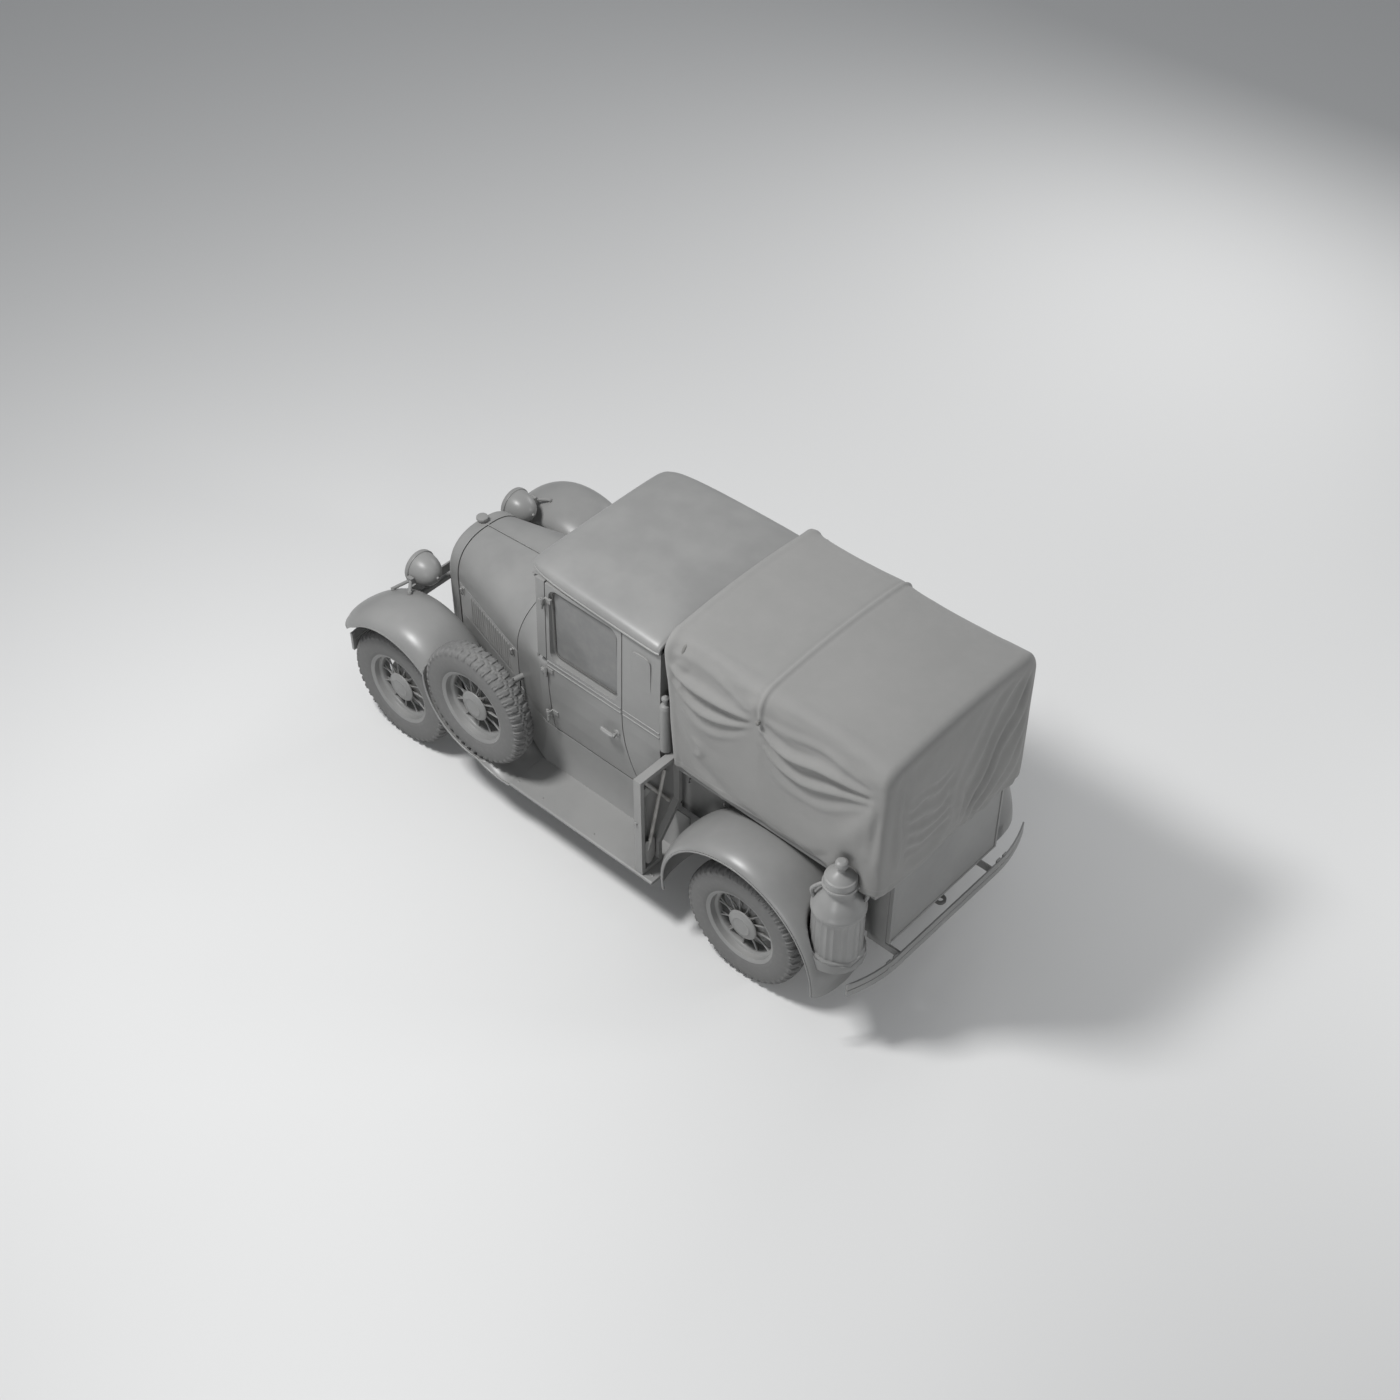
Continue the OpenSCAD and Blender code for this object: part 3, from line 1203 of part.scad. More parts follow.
// Extinguisher on the cab's rear left corner
module extinguisher() {
  x = cab_rear_x - 38;
  y = cab_half - 6;
  color("gray") translate([x, y, belt_z - 68]) {
    rotate_extrude() polygon([[0, 0], [31, 0], [31, 300], [26, 318], [14, 328], [14, 352], [20, 356],
      [20, 368], [8, 380], [0, 380]]);
    for (z = [60, 230]) translate([20, -34, z]) cube([18 - seat_gap, 34, 22]);
  }
}

frame();
cross_members();
front_axle();
rear_axle();
leaf_springs();
engine();
exhaust();
radiator_shell();
radiator_core();
hood_left();
hood_right();
hood_sides();
cowl();
cab_back();
cab_roof();
windscreen_frame();
cab_floor();
door_left();
door_right();
cab_glass();
door_glass_left();
door_glass_right();
bench_seat();
steering_column();
steering_wheel();
front_fenders();
rear_fenders();
running_boards();
cargo_tub();
tailgate();
tilt_canvas();
tilt_bows();
front_bumper();
rear_bumper();
headlamps();
headlamp_lenses();
lamp_bar();
tyre_front_left();
tyre_front_right();
tyre_rear_left();
tyre_rear_right();
tyre_spare();
wheel_front_left();
wheel_front_right();
wheel_rear_left();
wheel_rear_right();
wheel_spare();
knuckle_left();
knuckle_right();
tie_rod();
tool_board();
tools();
churn();
extinguisher();
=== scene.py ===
import math
import bmesh
import bpy
import numpy as np
from mathutils import Matrix, Vector, noise


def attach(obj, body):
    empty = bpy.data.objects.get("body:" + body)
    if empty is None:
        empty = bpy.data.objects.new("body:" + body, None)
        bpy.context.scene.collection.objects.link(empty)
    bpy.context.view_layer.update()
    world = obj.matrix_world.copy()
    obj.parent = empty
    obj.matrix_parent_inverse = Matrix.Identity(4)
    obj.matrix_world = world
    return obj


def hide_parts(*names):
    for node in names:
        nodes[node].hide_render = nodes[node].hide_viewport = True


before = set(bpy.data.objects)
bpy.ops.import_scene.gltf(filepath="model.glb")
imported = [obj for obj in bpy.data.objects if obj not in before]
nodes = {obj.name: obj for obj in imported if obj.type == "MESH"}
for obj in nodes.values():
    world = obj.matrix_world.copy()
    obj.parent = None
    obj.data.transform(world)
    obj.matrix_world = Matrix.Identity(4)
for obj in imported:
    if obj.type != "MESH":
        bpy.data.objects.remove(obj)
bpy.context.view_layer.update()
scene = bpy.context.scene

# Studio
# A pale floor that runs out of sight, a key lamp high at the front left, weaker ones at the left, right and
# rear, and the camera where the photograph was taken from: behind the left side and well above it.
scene.view_settings.view_transform = "Standard"
floor_half = 40.0
floor_mesh = bpy.data.meshes.new("floor")
floor_corners = [(x * floor_half, y * floor_half, 0) for x, y in ((-1, -1), (1, -1), (1, 1), (-1, 1))]
floor_mesh.from_pydata(floor_corners, [], [(0, 1, 2, 3)])
floor = bpy.data.objects.new("floor", floor_mesh)
scene.collection.objects.link(floor)
floor_paint = bpy.data.materials.new("pale_floor")
floor_paint.use_nodes = True
floor_paint.node_tree.nodes["Principled BSDF"].inputs["Base Color"].default_value = (0.66, 0.66, 0.655, 1)
floor_paint.node_tree.nodes["Principled BSDF"].inputs["Roughness"].default_value = 0.9
floor_mesh.materials.append(floor_paint)

sky = bpy.data.worlds.new("studio")
sky.use_nodes = True
sky.node_tree.nodes["Background"].inputs["Color"].default_value = (0.93, 0.96, 1, 1)
sky.node_tree.nodes["Background"].inputs["Strength"].default_value = 0.3
scene.world = sky

# Name, place, aim, width, power in watts
lamps = (("lamp_key", (1.6, 3.0, 7.2), (-0.3, 0, 0.9), 1.3, 500),
    ("lamp_left", (-3.4, 6.4, 2.4), (-0.5, 0, 0.9), 1.6, 75),
    ("lamp_right", (0.5, -7.5, 4.2), (0, 0, 0.9), 3.0, 170),
    ("lamp_rear", (-6.5, -3.6, 2.6), (-0.9, 0, 1.2), 1.6, 110))
for name, place, aim, width, power in lamps:
    light = bpy.data.lights.new(name, "AREA")
    light.size, light.energy = width, power
    lamp = bpy.data.objects.new(name, light)
    lamp.location = place
    lamp.rotation_euler = (Vector(aim) - Vector(place)).to_track_quat("-Z", "Y").to_euler()
    scene.collection.objects.link(lamp)

camera_place = Vector((-5.8066, 6.2410, 9.1008))
camera_aim = Vector((-0.2283, 0.0654, 0.9))
camera_roll = 0.0043
photo_side = 1400
focal_pixels = 2171.3
camera_data = bpy.data.cameras.new("camera")
camera_data.sensor_width = 36.0
camera_data.lens = camera_data.sensor_width * focal_pixels / photo_side
camera = bpy.data.objects.new("camera", camera_data)
view = (camera_aim - camera_place).to_track_quat("-Z", "Y").to_matrix().to_4x4()
camera.matrix_world = Matrix.Translation(camera_place) @ view @ Matrix.Rotation(camera_roll, 4, "Z")
scene.collection.objects.link(camera)
scene.camera = camera

# Ladder frame, springs and axles
# Pressed channel rails, leaf springs and forged axles, riveted together and brushed with dull dark paint,
# with road dust in the corners.


class Field:
    """A value that changes over a surface: a shader socket with arithmetic."""

    def __init__(self, socket):
        self.socket = socket

    def node(self, kind, settings=None, inputs=None, output=0):
        tree = self.socket.id_data
        made = tree.nodes.new(kind)
        for name, value in (settings or {}).items():
            setattr(made, name, value)
        for name, value in (inputs or {}).items():
            if isinstance(value, Field):
                tree.links.new(value.socket, made.inputs[name])
            else:
                made.inputs[name].default_value = value
        return Field(made.outputs[output])

    def join(self, operation, left, right):
        pair = (left, right)
        if any(isinstance(x, Field) and x.socket.type != "VALUE" for x in pair):
            pair = [x if isinstance(x, Field) or hasattr(x, "__len__") else (x, x, x) for x in pair]
            return self.node("ShaderNodeVectorMath", {"operation": operation}, dict(enumerate(pair)))
        return self.node("ShaderNodeMath", {"operation": operation}, dict(enumerate(pair)))

    def __add__(self, other):
        return self.join("ADD", self, other)

    def __sub__(self, other):
        return self.join("SUBTRACT", self, other)

    def __mul__(self, other):
        return self.join("MULTIPLY", self, other)

    def __radd__(self, other):
        return self.join("ADD", other, self)

    def __rsub__(self, other):
        return self.join("SUBTRACT", other, self)

    def __rmul__(self, other):
        return self.join("MULTIPLY", other, self)

    def mix(self, low, high):
        colours = [x if isinstance(x, Field) else (*x, 1) for x in (low, high)]
        return self.node("ShaderNodeMix", {"data_type": "RGBA"}, {0: self, 6: colours[0], 7: colours[1]}, 2)

    def step(self, low, high):
        return self.node("ShaderNodeMapRange", {"interpolation_type": "SMOOTHSTEP"},
            {"Value": self, "From Min": low, "From Max": high})

    def grain(self, size, detail=3.0, rough=0.55):
        """Noise over this place, with lumps of a size in metres."""
        return self.node("ShaderNodeTexNoise", {}, {"Vector": self, "Scale": 1 / size, "Detail": detail,
            "Roughness": rough})


def new_finish(name, **constants):
    """A material, its shader, and the place on the surface in metres."""
    made = bpy.data.materials.new(name)
    made.use_nodes = True
    shader = made.node_tree.nodes["Principled BSDF"]
    for socket, value in constants.items():
        shader.inputs[socket.replace("_", " ")].default_value = value
    coordinates = made.node_tree.nodes.new("ShaderNodeTexCoord")
    return made, shader, Field(coordinates.outputs["Object"])


def feed(shader, **fields):
    """Links fields to the shader's sockets of those names."""
    for socket, field in fields.items():
        shader.id_data.links.new(field.socket, shader.inputs[socket.replace("_", " ")])


def painted_steel(name, colour, gloss=0.42, wear=0.5, dust=0.5, corner=0.003):
    """Brushed or sprayed paint: uneven tone, dull dust and painted shade in corners, paint rubbed thin along
    the edges.
    """
    made, shader, place = new_finish(name, Specular_IOR_Level=0.4)
    rounded = place.node("ShaderNodeBevel", {"samples": 4}, {"Radius": corner})
    flat = place.node("ShaderNodeNewGeometry", {}, {}, "Normal")
    turn = rounded.node("ShaderNodeVectorMath", {"operation": "DOT_PRODUCT"}, {0: rounded, 1: flat}, "Value")
    open_sky = place.node("ShaderNodeAmbientOcclusion", {"samples": 5}, {"Distance": 0.07}, "AO")
    clouds = place.grain(0.45, 4)
    blotches = place.grain(0.06, 5, 0.65)
    specks = place.grain(0.004, 2)
    edge = ((1 - turn) * 3.2).step(0.12, 0.8) * blotches.step(0.36, 0.62) * wear
    # Hidden corners and crevices: real dust, and painted shade where the paint is paler than the dust tone.
    corner_dust_and_shade = (1 - open_sky).step(0.18, 0.85) * dust
    upward = flat.node("ShaderNodeSeparateXYZ", {}, {"Vector": flat}, "Z").step(0.2, 1.0)
    film = upward * clouds.step(0.4, 0.75) * (0.3 * dust)
    dark = tuple(0.9 * c for c in colour)
    light = tuple(min(1, 1.06 * c) for c in colour)
    dust_tone = tuple(0.55 * c + 0.45 * d for c, d in zip(colour, (0.34, 0.325, 0.30)))
    tone = clouds.step(0.3, 0.7).mix(dark, light)
    tone = (specks.step(0.35, 0.75) * 0.1).mix(tone, tuple(0.7 * c for c in colour))
    # Painted shade and dust: hidden corners are mixed to a darkened dust tone.
    tone = (corner_dust_and_shade * 0.6).mix(tone, tuple(0.72 * c for c in dust_tone))
    tone = film.mix(tone, dust_tone)
    tone = edge.mix(tone, tuple(min(1, 1.3 * c + 0.03) for c in colour))
    roughness = gloss + 0.12 * (blotches - 0.5) + 0.3 * (corner_dust_and_shade + film) + 0.06 * clouds
    height = place.grain(0.0022, 2) * 0.25 + blotches
    bump = rounded.node("ShaderNodeBump", {}, {"Strength": 0.09, "Distance": 0.0012, "Height": height,
        "Normal": rounded})
    feed(shader, Base_Color=tone, Roughness=roughness, Normal=bump)
    return made


def dress(material, *names):
    """Gives CAD nodes their finish."""
    for name in names:
        nodes[name].data.materials.clear()
        nodes[name].data.materials.append(material)


chassis_paint = painted_steel("chassis_paint", (0.135, 0.135, 0.132), 0.5, 0.5, 0.9)
dress(chassis_paint, "frame", "cross_members", "front_axle", "rear_axle", "leaf_springs", "knuckle_left",
    "knuckle_right", "tie_rod", "steering_column")

# Wheels and tyres
# Welded wire wheels: a rolled drop-centre rim, two rows of spokes, a hub shell and a pressed hub cap,
# painted. The tyres are moulded rubber with heavy shoulder bars and a zigzag rib, dusty in the grooves.


def grid(rows, closed=False):
    """Quads between rows of points; closed joins each row's ends."""
    wide = len(rows[0])
    last = wide if closed else wide - 1
    faces = [(i * wide + j, i * wide + (j + 1) % wide, (i + 1) * wide + (j + 1) % wide, (i + 1) * wide + j)
        for i in range(len(rows) - 1) for j in range(last)]
    return [Vector(p) for row in rows for p in row], faces


def lathe(profile, sides=72):
    """A profile of (radius, place along the axis) turned about Y."""
    rows = [[(r * math.cos(a), y, r * math.sin(a)) for a in (2 * math.pi * j / sides for j in range(sides))]
        for r, y in profile]
    return grid(rows, True)


def tube(path, radius, sides=8, closed=False):
    """A round bar along a path, with its ends filled; radius may be one per point."""
    path = [Vector(p) for p in path]
    count = len(path)
    radii = radius if hasattr(radius, "__len__") else [radius] * count
    rows = []
    side = None
    for i, at in enumerate(path):
        before = path[i - 1] if i or closed else at
        after = path[(i + 1) % count] if i < count - 1 or closed else at
        along = (after - before).normalized()
        if side is None:
            side = along.orthogonal().normalized()
        side = (side - along * side.dot(along)).normalized()
        up = along.cross(side)
        rows.append([at + radii[i] * (math.cos(a) * side + math.sin(a) * up)
            for a in (2 * math.pi * j / sides for j in range(sides))])
    points, faces = grid(rows + rows[:1] if closed else rows, True)
    if not closed:
        faces += [tuple(range(sides))[::-1], tuple(range((count - 1) * sides, count * sides))]
    return points, faces


def moved(part, matrix):
    return [matrix @ p for p in part[0]], part[1]


def new_piece(name, parts, body, material, replaces=(), crease=38):
    """One mesh of several parts that rides on a body; edges sharper than the crease stay sharp."""
    points, faces = [], []
    for part_points, part_faces in parts:
        start = len(points)
        points.extend(tuple(p) for p in part_points)
        faces.extend(tuple(i + start for i in face) for face in part_faces)
    mesh = bpy.data.meshes.new(name)
    mesh.from_pydata(points, [], faces)
    made = bmesh.new()
    made.from_mesh(mesh)
    bmesh.ops.remove_doubles(made, verts=made.verts, dist=1e-6)
    bmesh.ops.recalc_face_normals(made, faces=made.faces)
    made.to_mesh(mesh)
    made.free()
    mesh.shade_smooth()
    mesh.set_sharp_from_angle(angle=math.radians(crease))
    mesh.materials.append(material)
    piece = bpy.data.objects.new(name, mesh)
    scene.collection.objects.link(piece)
    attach(piece, body)
    if replaces:
        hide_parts(*replaces)
    return piece


def through(knots, count):
    """A smooth run of points through knots, evenly spaced in the knots' own steps."""
    knots = [Vector(k) for k in knots]
    ends = [2 * knots[0] - knots[1], *knots, 2 * knots[-1] - knots[-2]]
    run = []
    for i in range(count):
        t = i * (len(knots) - 1) / (count - 1)
        k = min(int(t), len(knots) - 2)
        a, b, c, d = ends[k:k + 4]
        t -= k
        curve = (2 * a - 5 * b + 4 * c - d) * t * t + (3 * b - a - 3 * c + d) * t ** 3
        run.append(0.5 * (2 * b + (c - a) * t + curve))
    return run


def ease(low, high, x):
    t = min(1.0, max(0.0, (x - low) / (high - low)))
    return t * t * (3 - 2 * t)


axle_z, front_axle_x, rear_axle_x, wheel_y = 0.374, 1.470, -1.150, 0.710
bar_count = 44
bar_depth = 0.008
# Half of the tyre's section from the bead to the middle of the tread: radius, place across the wheel
tyre_half = ((0.2165, 0.054), (0.226, 0.0615), (0.243, 0.069), (0.266, 0.0738), (0.291, 0.075),
    (0.316, 0.0728), (0.338, 0.0665), (0.352, 0.057), (0.3595, 0.044), (0.3635, 0.024), (0.365, 0.0))
tyre_section = [(p.x, p.y) for p in through([(r, y, 0) for r, y in tyre_half], 34)]
tyre_section += [(r, -y) for r, y in reversed(tyre_section[:-1])]


def tread_height(turn, r, y):
    """Height of the bars and the middle rib at a place on the tyre, from 0 to 1."""
    across = abs(y) / 0.075
    phase = (turn * bar_count + (0.0 if y > 0 else 0.5) + 0.16 * across) % 1.0
    bar = ease(0.2, 0.26, phase) * (1 - ease(0.74, 0.8, phase))
    bar *= ease(0.006, 0.012, abs(y)) * ease(0.334, 0.341, r)
    notch = ease(0.44, 0.47, phase) * (1 - ease(0.53, 0.56, phase)) * ease(0.046, 0.05, abs(y))
    zigzag = 0.0085 * (abs((2 * turn * bar_count) % 2 - 1) * 2 - 1)
    rib = 1 - ease(0.009, 0.012, abs(y - zigzag))
    return max(bar * (1 - 0.55 * notch), rib)


tyre_turns = bar_count * 12
rows = []
for k, (r, y) in enumerate(tyre_section):
    before, after = tyre_section[max(k - 1, 0)], tyre_section[min(k + 1, len(tyre_section) - 1)]
    out = Vector((before[1] - after[1], after[0] - before[0])).normalized()
    rib = 0.0009 * sum(1 - ease(0.0016, 0.0032, abs(r - ring)) for ring in (0.2475, 0.302, 0.3085))
    row = []
    for j in range(tyre_turns):
        turn = j / tyre_turns
        h = rib + bar_depth * tread_height(turn, r, y)
        reach, across, a = r + h * out.x, y + h * out.y, 2 * math.pi * turn
        row.append((reach * math.cos(a), across, reach * math.sin(a)))
    rows.append(row)
tyre_part = grid(rows, True)
tyre_lining = lathe([(0.2165, -0.054), (0.219, -0.03), (0.219, 0.03), (0.2165, 0.054)], tyre_turns)

rubber, shader, place = new_finish("tyre_rubber", Specular_IOR_Level=0.35)
shade = place.node("ShaderNodeAmbientOcclusion", {"samples": 5}, {"Distance": 0.02}, "AO")
scuff = place.grain(0.03, 5, 0.6)
dust = (1 - shade).step(0.1, 0.7) * 0.6 + scuff.step(0.45, 0.75) * 0.3
feed(shader, Base_Color=dust.mix((0.14, 0.14, 0.138), (0.215, 0.211, 0.204)), Roughness=0.62 + 0.25 * dust,
    Normal=place.node("ShaderNodeBump", {}, {"Strength": 0.12, "Distance": 0.001,
    "Height": place.grain(0.0016, 2)}))

wheel_places = {"front_left": (front_axle_x, wheel_y, axle_z),
    "front_right": (front_axle_x, -wheel_y, axle_z),
    "rear_left": (rear_axle_x, wheel_y, axle_z), "rear_right": (rear_axle_x, -wheel_y, axle_z),
    "spare": (0.764, 0.768, 0.735)}
wheel_paint = painted_steel("wheel_paint", (0.23, 0.23, 0.226), 0.38, 0.5, 0.9, 0.0015)
rim_section = [(0.231, 0.0648), (0.2325, 0.0632), (0.2318, 0.0612), (0.226, 0.0585), (0.217, 0.0545),
    (0.2145, 0.050), (0.2138, 0.030), (0.212, 0.022), (0.2, 0.0165), (0.196, 0.012), (0.1955, 0)]
rim_inside = [(0.190, 0), (0.1905, 0.0135), (0.194, 0.0185), (0.2065, 0.0245), (0.2085, 0.031),
    (0.2095, 0.05), (0.2105, 0.056), (0.219, 0.0605), (0.229, 0.0655), (0.231, 0.0648)]
rim_ring = rim_section + [(r, -y) for r, y in reversed(rim_section[:-1])]
rim_ring += [(r, -y) for r, y in reversed(rim_inside[:-1])] + rim_inside[1:]
cap_section = [(0, 0.0575), (0.02, 0.0571), (0.04, 0.0558), (0.052, 0.0545), (0.0535, 0.0553),
    (0.056, 0.0553), (0.0575, 0.0536), (0.074, 0.0498), (0.086, 0.046), (0.0915, 0.0425), (0.0938, 0.0385),
    (0.0938, 0.0365), (0.0915, 0.0355), (0.074, 0.036), (0.074, 0.032), (0.058, 0.028)]
drum_section = [(0.0165, -0.018), (0.0165, -0.026), (0.137, -0.026), (0.1385, -0.046), (0.144, -0.046),
    (0.144, -0.030), (0.1435, -0.0195), (0.139, -0.0165), (0.122, -0.0125), (0.112, -0.0035), (0.098, 0.003),
    (0.0745, 0.0055), (0.058, 0.006)]
# Place across the wheel at the hub and at the rim, lean in degrees, offset in steps
spoke_rows = ((0.024, -0.006, 9, 0.0), (0.002, 0.007, -9, 0.5))
spokes_per_row, spoke_hub_r, spoke_rim_r = 12, 0.056, 0.192
for wheel, at in wheel_places.items():
    carrier = "chassis" if wheel == "spare" else "wheel_" + wheel
    outward = 1 if at[1] > 0 else -1
    stand = Matrix.Translation(at) @ Matrix.Diagonal((1, outward, 1, 1))
    new_piece("tyre_" + wheel, [moved(tyre_part, stand), moved(tyre_lining, stand)], carrier, rubber,
        ["tyre_" + wheel], 50)
    back = -0.018 if wheel != "spare" else -0.050
    drum = [(0.058, back), (0.058, 0.028)] if wheel == "spare" else drum_section
    parts = [lathe(rim_ring), lathe(cap_section + [(0.058, back)]), lathe(drum)]
    for high, low, lean, offset in spoke_rows:
        for i in range(spokes_per_row):
            a = math.radians((i + offset) * 360 / spokes_per_row)
            b = a + math.radians(lean)
            hub = Vector((spoke_hub_r * math.cos(a), high, spoke_hub_r * math.sin(a)))
            foot = Vector((spoke_rim_r * math.cos(b), low, spoke_rim_r * math.sin(b)))
            parts.append(tube([hub, hub.lerp(foot, 0.12), hub.lerp(foot, 0.88), foot],
                [0.0068, 0.0054, 0.0054, 0.0064], 10))
    new_piece("wheel_" + wheel, [moved(p, stand) for p in parts], carrier, wheel_paint,
        ["wheel_" + wheel])

# Fenders
# Deep crowned steel pressings with a wired outer edge, sprayed grey with the body. The left front one is
# pressed into a well for the spare wheel, and the left rear one has a pocket beside the churn.
body_paint = painted_steel("body_paint", (0.235, 0.235, 0.231), 0.33, 0.4, 0.4)
half_width = 0.845
sheet_t = 0.004


def shell(outer, inner):
    """A closed sheet between two grids of points of one size, with its edges filled."""
    high, wide = len(outer), len(outer[0])
    points, faces = grid(outer)
    back_points, back_faces = grid(inner)
    start = len(points)
    faces += [tuple(i + start for i in reversed(face)) for face in back_faces]
    rim = [*range(wide), *(k * wide + wide - 1 for k in range(1, high)),
        *((high - 1) * wide + k for k in range(wide - 2, -1, -1)),
        *(k * wide for k in range(high - 2, 0, -1))]
    faces += [(b, a, a + start, b + start) for a, b in zip(rim, rim[1:] + rim[:1])]
    return points + back_points, faces


def crowned(at, normal, crest_y, reach_out, reach_in, drop_out, drop_in, skin, steps):
    """One section of a crowned sheet across the truck, a skin's depth under its face."""
    section = []
    for k in range(2 * steps + 1):
        a = math.pi * k / (2 * steps)
        reach, drop = (reach_out, drop_out) if k <= steps else (reach_in, drop_in)
        fall = (drop - skin) * math.sin(a) - drop
        section.append((at[0] + normal[0] * fall, crest_y + (reach - skin) * math.cos(a),
            at[1] + normal[1] * fall))
    return section


def mirrored(part):
    return [Vector((p[0], -p[1], p[2])) for p in part[0]], [tuple(reversed(face)) for face in part[1]]


def blend(a, b, t):
    return a + (b - a) * t


spare_at = Vector(wheel_places["spare"])
well_r = 0.3755
well_half = 0.079


def well_pressed(p, skin):
    """Pushes a point of the fender out of the spare wheel's way."""
    out = Vector((p[0] - spare_at.x, p[2] - spare_at.z))
    inside = 1 - ease(well_half, well_half + 0.012, abs(p[1] - spare_at.y))
    lift = max(0.0, well_r + skin - out.length) * inside
    out = out + out.normalized() * lift
    return spare_at.x + out.x, p[1], spare_at.z + out.y


fender_centre = (1.428, 0.420)
crest_r, leave, foot_r = 0.530, math.radians(140), 0.400
board_top, board_t = 0.345, 0.020
leave_at = Vector((fender_centre[0] + crest_r * math.cos(leave),
    fender_centre[1] + crest_r * math.sin(leave)))
run = Vector((-math.sin(leave), math.cos(leave)))
foot_at = leave_at + run * ((leave_at.y - board_top - foot_r * (1 + run.x)) / -run.y)
foot_centre = foot_at + foot_r * Vector((math.cos(leave), math.sin(leave)))
front_crest, front_in = 0.680, 0.440
front_drop_out, front_drop_in = 0.092, 0.110
over_steps, straight_steps, foot_steps = 74, 16, 34
stations = []
for i in range(over_steps + 1):
    t = i / over_steps
    a = blend(math.radians(24.5), leave, t)
    share = 1 - 0.38 * max(0.0, 1 - t / 0.25) ** 1.7
    normal = Vector((math.cos(a), math.sin(a)))
    stations.append((Vector(fender_centre) + crest_r * normal, normal, share, front_drop_out * share,
        front_drop_in * share))
for i in range(1, straight_steps):
    t = i / straight_steps
    stations.append((leave_at.lerp(foot_at, t), Vector((math.cos(leave), math.sin(leave))), 1,
        front_drop_out - 0.006 * t, front_drop_in - 0.018 * t))
for i in range(foot_steps + 1):
    t = i / foot_steps
    a = blend(leave + math.pi, 1.5 * math.pi, t)
    normal = Vector((math.cos(a), math.sin(a)))
    stations.append((foot_centre + foot_r * normal, -normal, 1, blend(front_drop_out - 0.006, board_t, t),
        blend(front_drop_in - 0.018, 0.014, t)))


def front_skin(skin, pressed):
    reach_out, reach_in = half_width - front_crest, front_crest - front_in
    rows = [crowned(at, normal, front_crest, reach_out * share, reach_in * share, drop_out, drop_in, skin, 22)
        for at, normal, share, drop_out, drop_in in stations]
    return [[well_pressed(p, skin) for p in row] for row in rows] if pressed else rows


def lip(rows, inset):
    """Path of the wired edge along a fender's outer side."""
    return [Vector(rows[i][0]) + Vector((0, -inset, inset)) for i in range(len(rows))]


left_rows, right_rows = front_skin(0, True), front_skin(0, False)
wire_r = 0.0065
hood_x, hood_halves = (0.789, 1.456), (0.445, 0.258)
apron = shell(*([[(blend(*hood_x, t), blend(*hood_halves, t) - skin, z) for t in (0, 0.5, 1)]
    for z in (0.535, 0.646)] for skin in (0, 0.005)))
nose_wire = [Vector(p) for p in left_rows[0]]
new_piece("front_fenders", [shell(left_rows, front_skin(sheet_t, True)),
    mirrored(shell(right_rows, front_skin(sheet_t, False))),
    tube(lip(left_rows, 0.003), wire_r, 10), mirrored(tube(lip(right_rows, 0.003), wire_r, 10)),
    tube(nose_wire, wire_r, 10), mirrored(tube(nose_wire, wire_r, 10)), apron, mirrored(apron)],
    "chassis", body_paint, ["front_fenders"], 42)

rear_crest_y, rear_crest_r, tub_half = 0.650, 0.580, 0.455
churn_at, churn_r = Vector((-1.688, 0.655, 0.548)), 0.142


def rear_skin(skin, pocket):
    rows = []
    for i in range(105):
        turn = blend(-1.0, 184.0, i / 104)
        r = rear_crest_r + 0.026 * max(0.0, (turn - 120) / 64) ** 2 - 0.046 * max(0.0, (60 - turn) / 62) ** 2
        normal = Vector((math.cos(math.radians(turn)), math.sin(math.radians(turn))))
        rows.append(crowned(Vector((rear_axle_x, axle_z)) + r * normal, normal, rear_crest_y,
            half_width - rear_crest_y, rear_crest_y - tub_half - 0.001, 0.062, 0.060, skin, 24))
    return [[pocketed(p, skin) for p in row] for row in rows] if pocket else rows


def pocketed(p, skin):
    """Moves a point of the fender sideways out of the churn's way."""
    out = Vector((p[0] - churn_at.x, p[1] - churn_at.y))
    room = churn_r + 0.009 + skin
    if out.length < room and p[2] > churn_at.z - 0.03:
        out = out.normalized() * room
    return churn_at.x + out.x, churn_at.y + out.y, p[2]


left_rows, right_rows = rear_skin(0, True), rear_skin(0, False)
new_piece("rear_fenders", [shell(left_rows, rear_skin(sheet_t, True)),
    mirrored(shell(right_rows, rear_skin(sheet_t, False))),
    tube(lip(left_rows, 0.003), wire_r, 10), mirrored(tube(lip(right_rows, 0.003), wire_r, 10))],
    "chassis", body_paint, ["rear_fenders"], 42)

# Hood
# Two steel top halves hinged along the ridge, over fixed sides with a row of upright pressed louvres. Spring
# catches at the sides hold the halves down.
hood_tops = (1.180, 1.130)
hood_bottom, hood_shoulder, hood_square, ridge_gap = 0.650, 0.880, 2.5, 0.006
louvre_count, louvre_wide, louvre_high = 18, 0.017, 0.0062
louvre_z, louvre_from, louvre_run = (0.672, 0.860), 0.15, 0.64
hood_long = 0.693


def arched(half, shoulder, top, square, a):
    """Point of a squarish arch at an angle, from its side round to its ridge."""
    c, s = math.cos(a), math.sin(a)
    return (half * math.copysign(abs(c) ** (2 / square), c),
        shoulder + (top - shoulder) * abs(s) ** (2 / square))


def louvre_height(t, z):
    """Height of the louvre at a share of the hood's length and a height."""
    row = (t - louvre_from) / louvre_run * (louvre_count - 1)
    near = round(min(max(row, 0), louvre_count - 1))
    s = (near - row) * louvre_run / (louvre_count - 1) * hood_long / louvre_wide + 0.5
    if not 0 < s < 1:
        return 0.0
    end = min(z - louvre_z[0], louvre_z[1] - z) / (0.5 * louvre_wide)
    round_end = math.sqrt(max(0.0, 1 - (1 - min(1.0, max(0.0, end))) ** 2))
    return louvre_high * round_end * math.sqrt(1 - (2 * s - 1) ** 2)


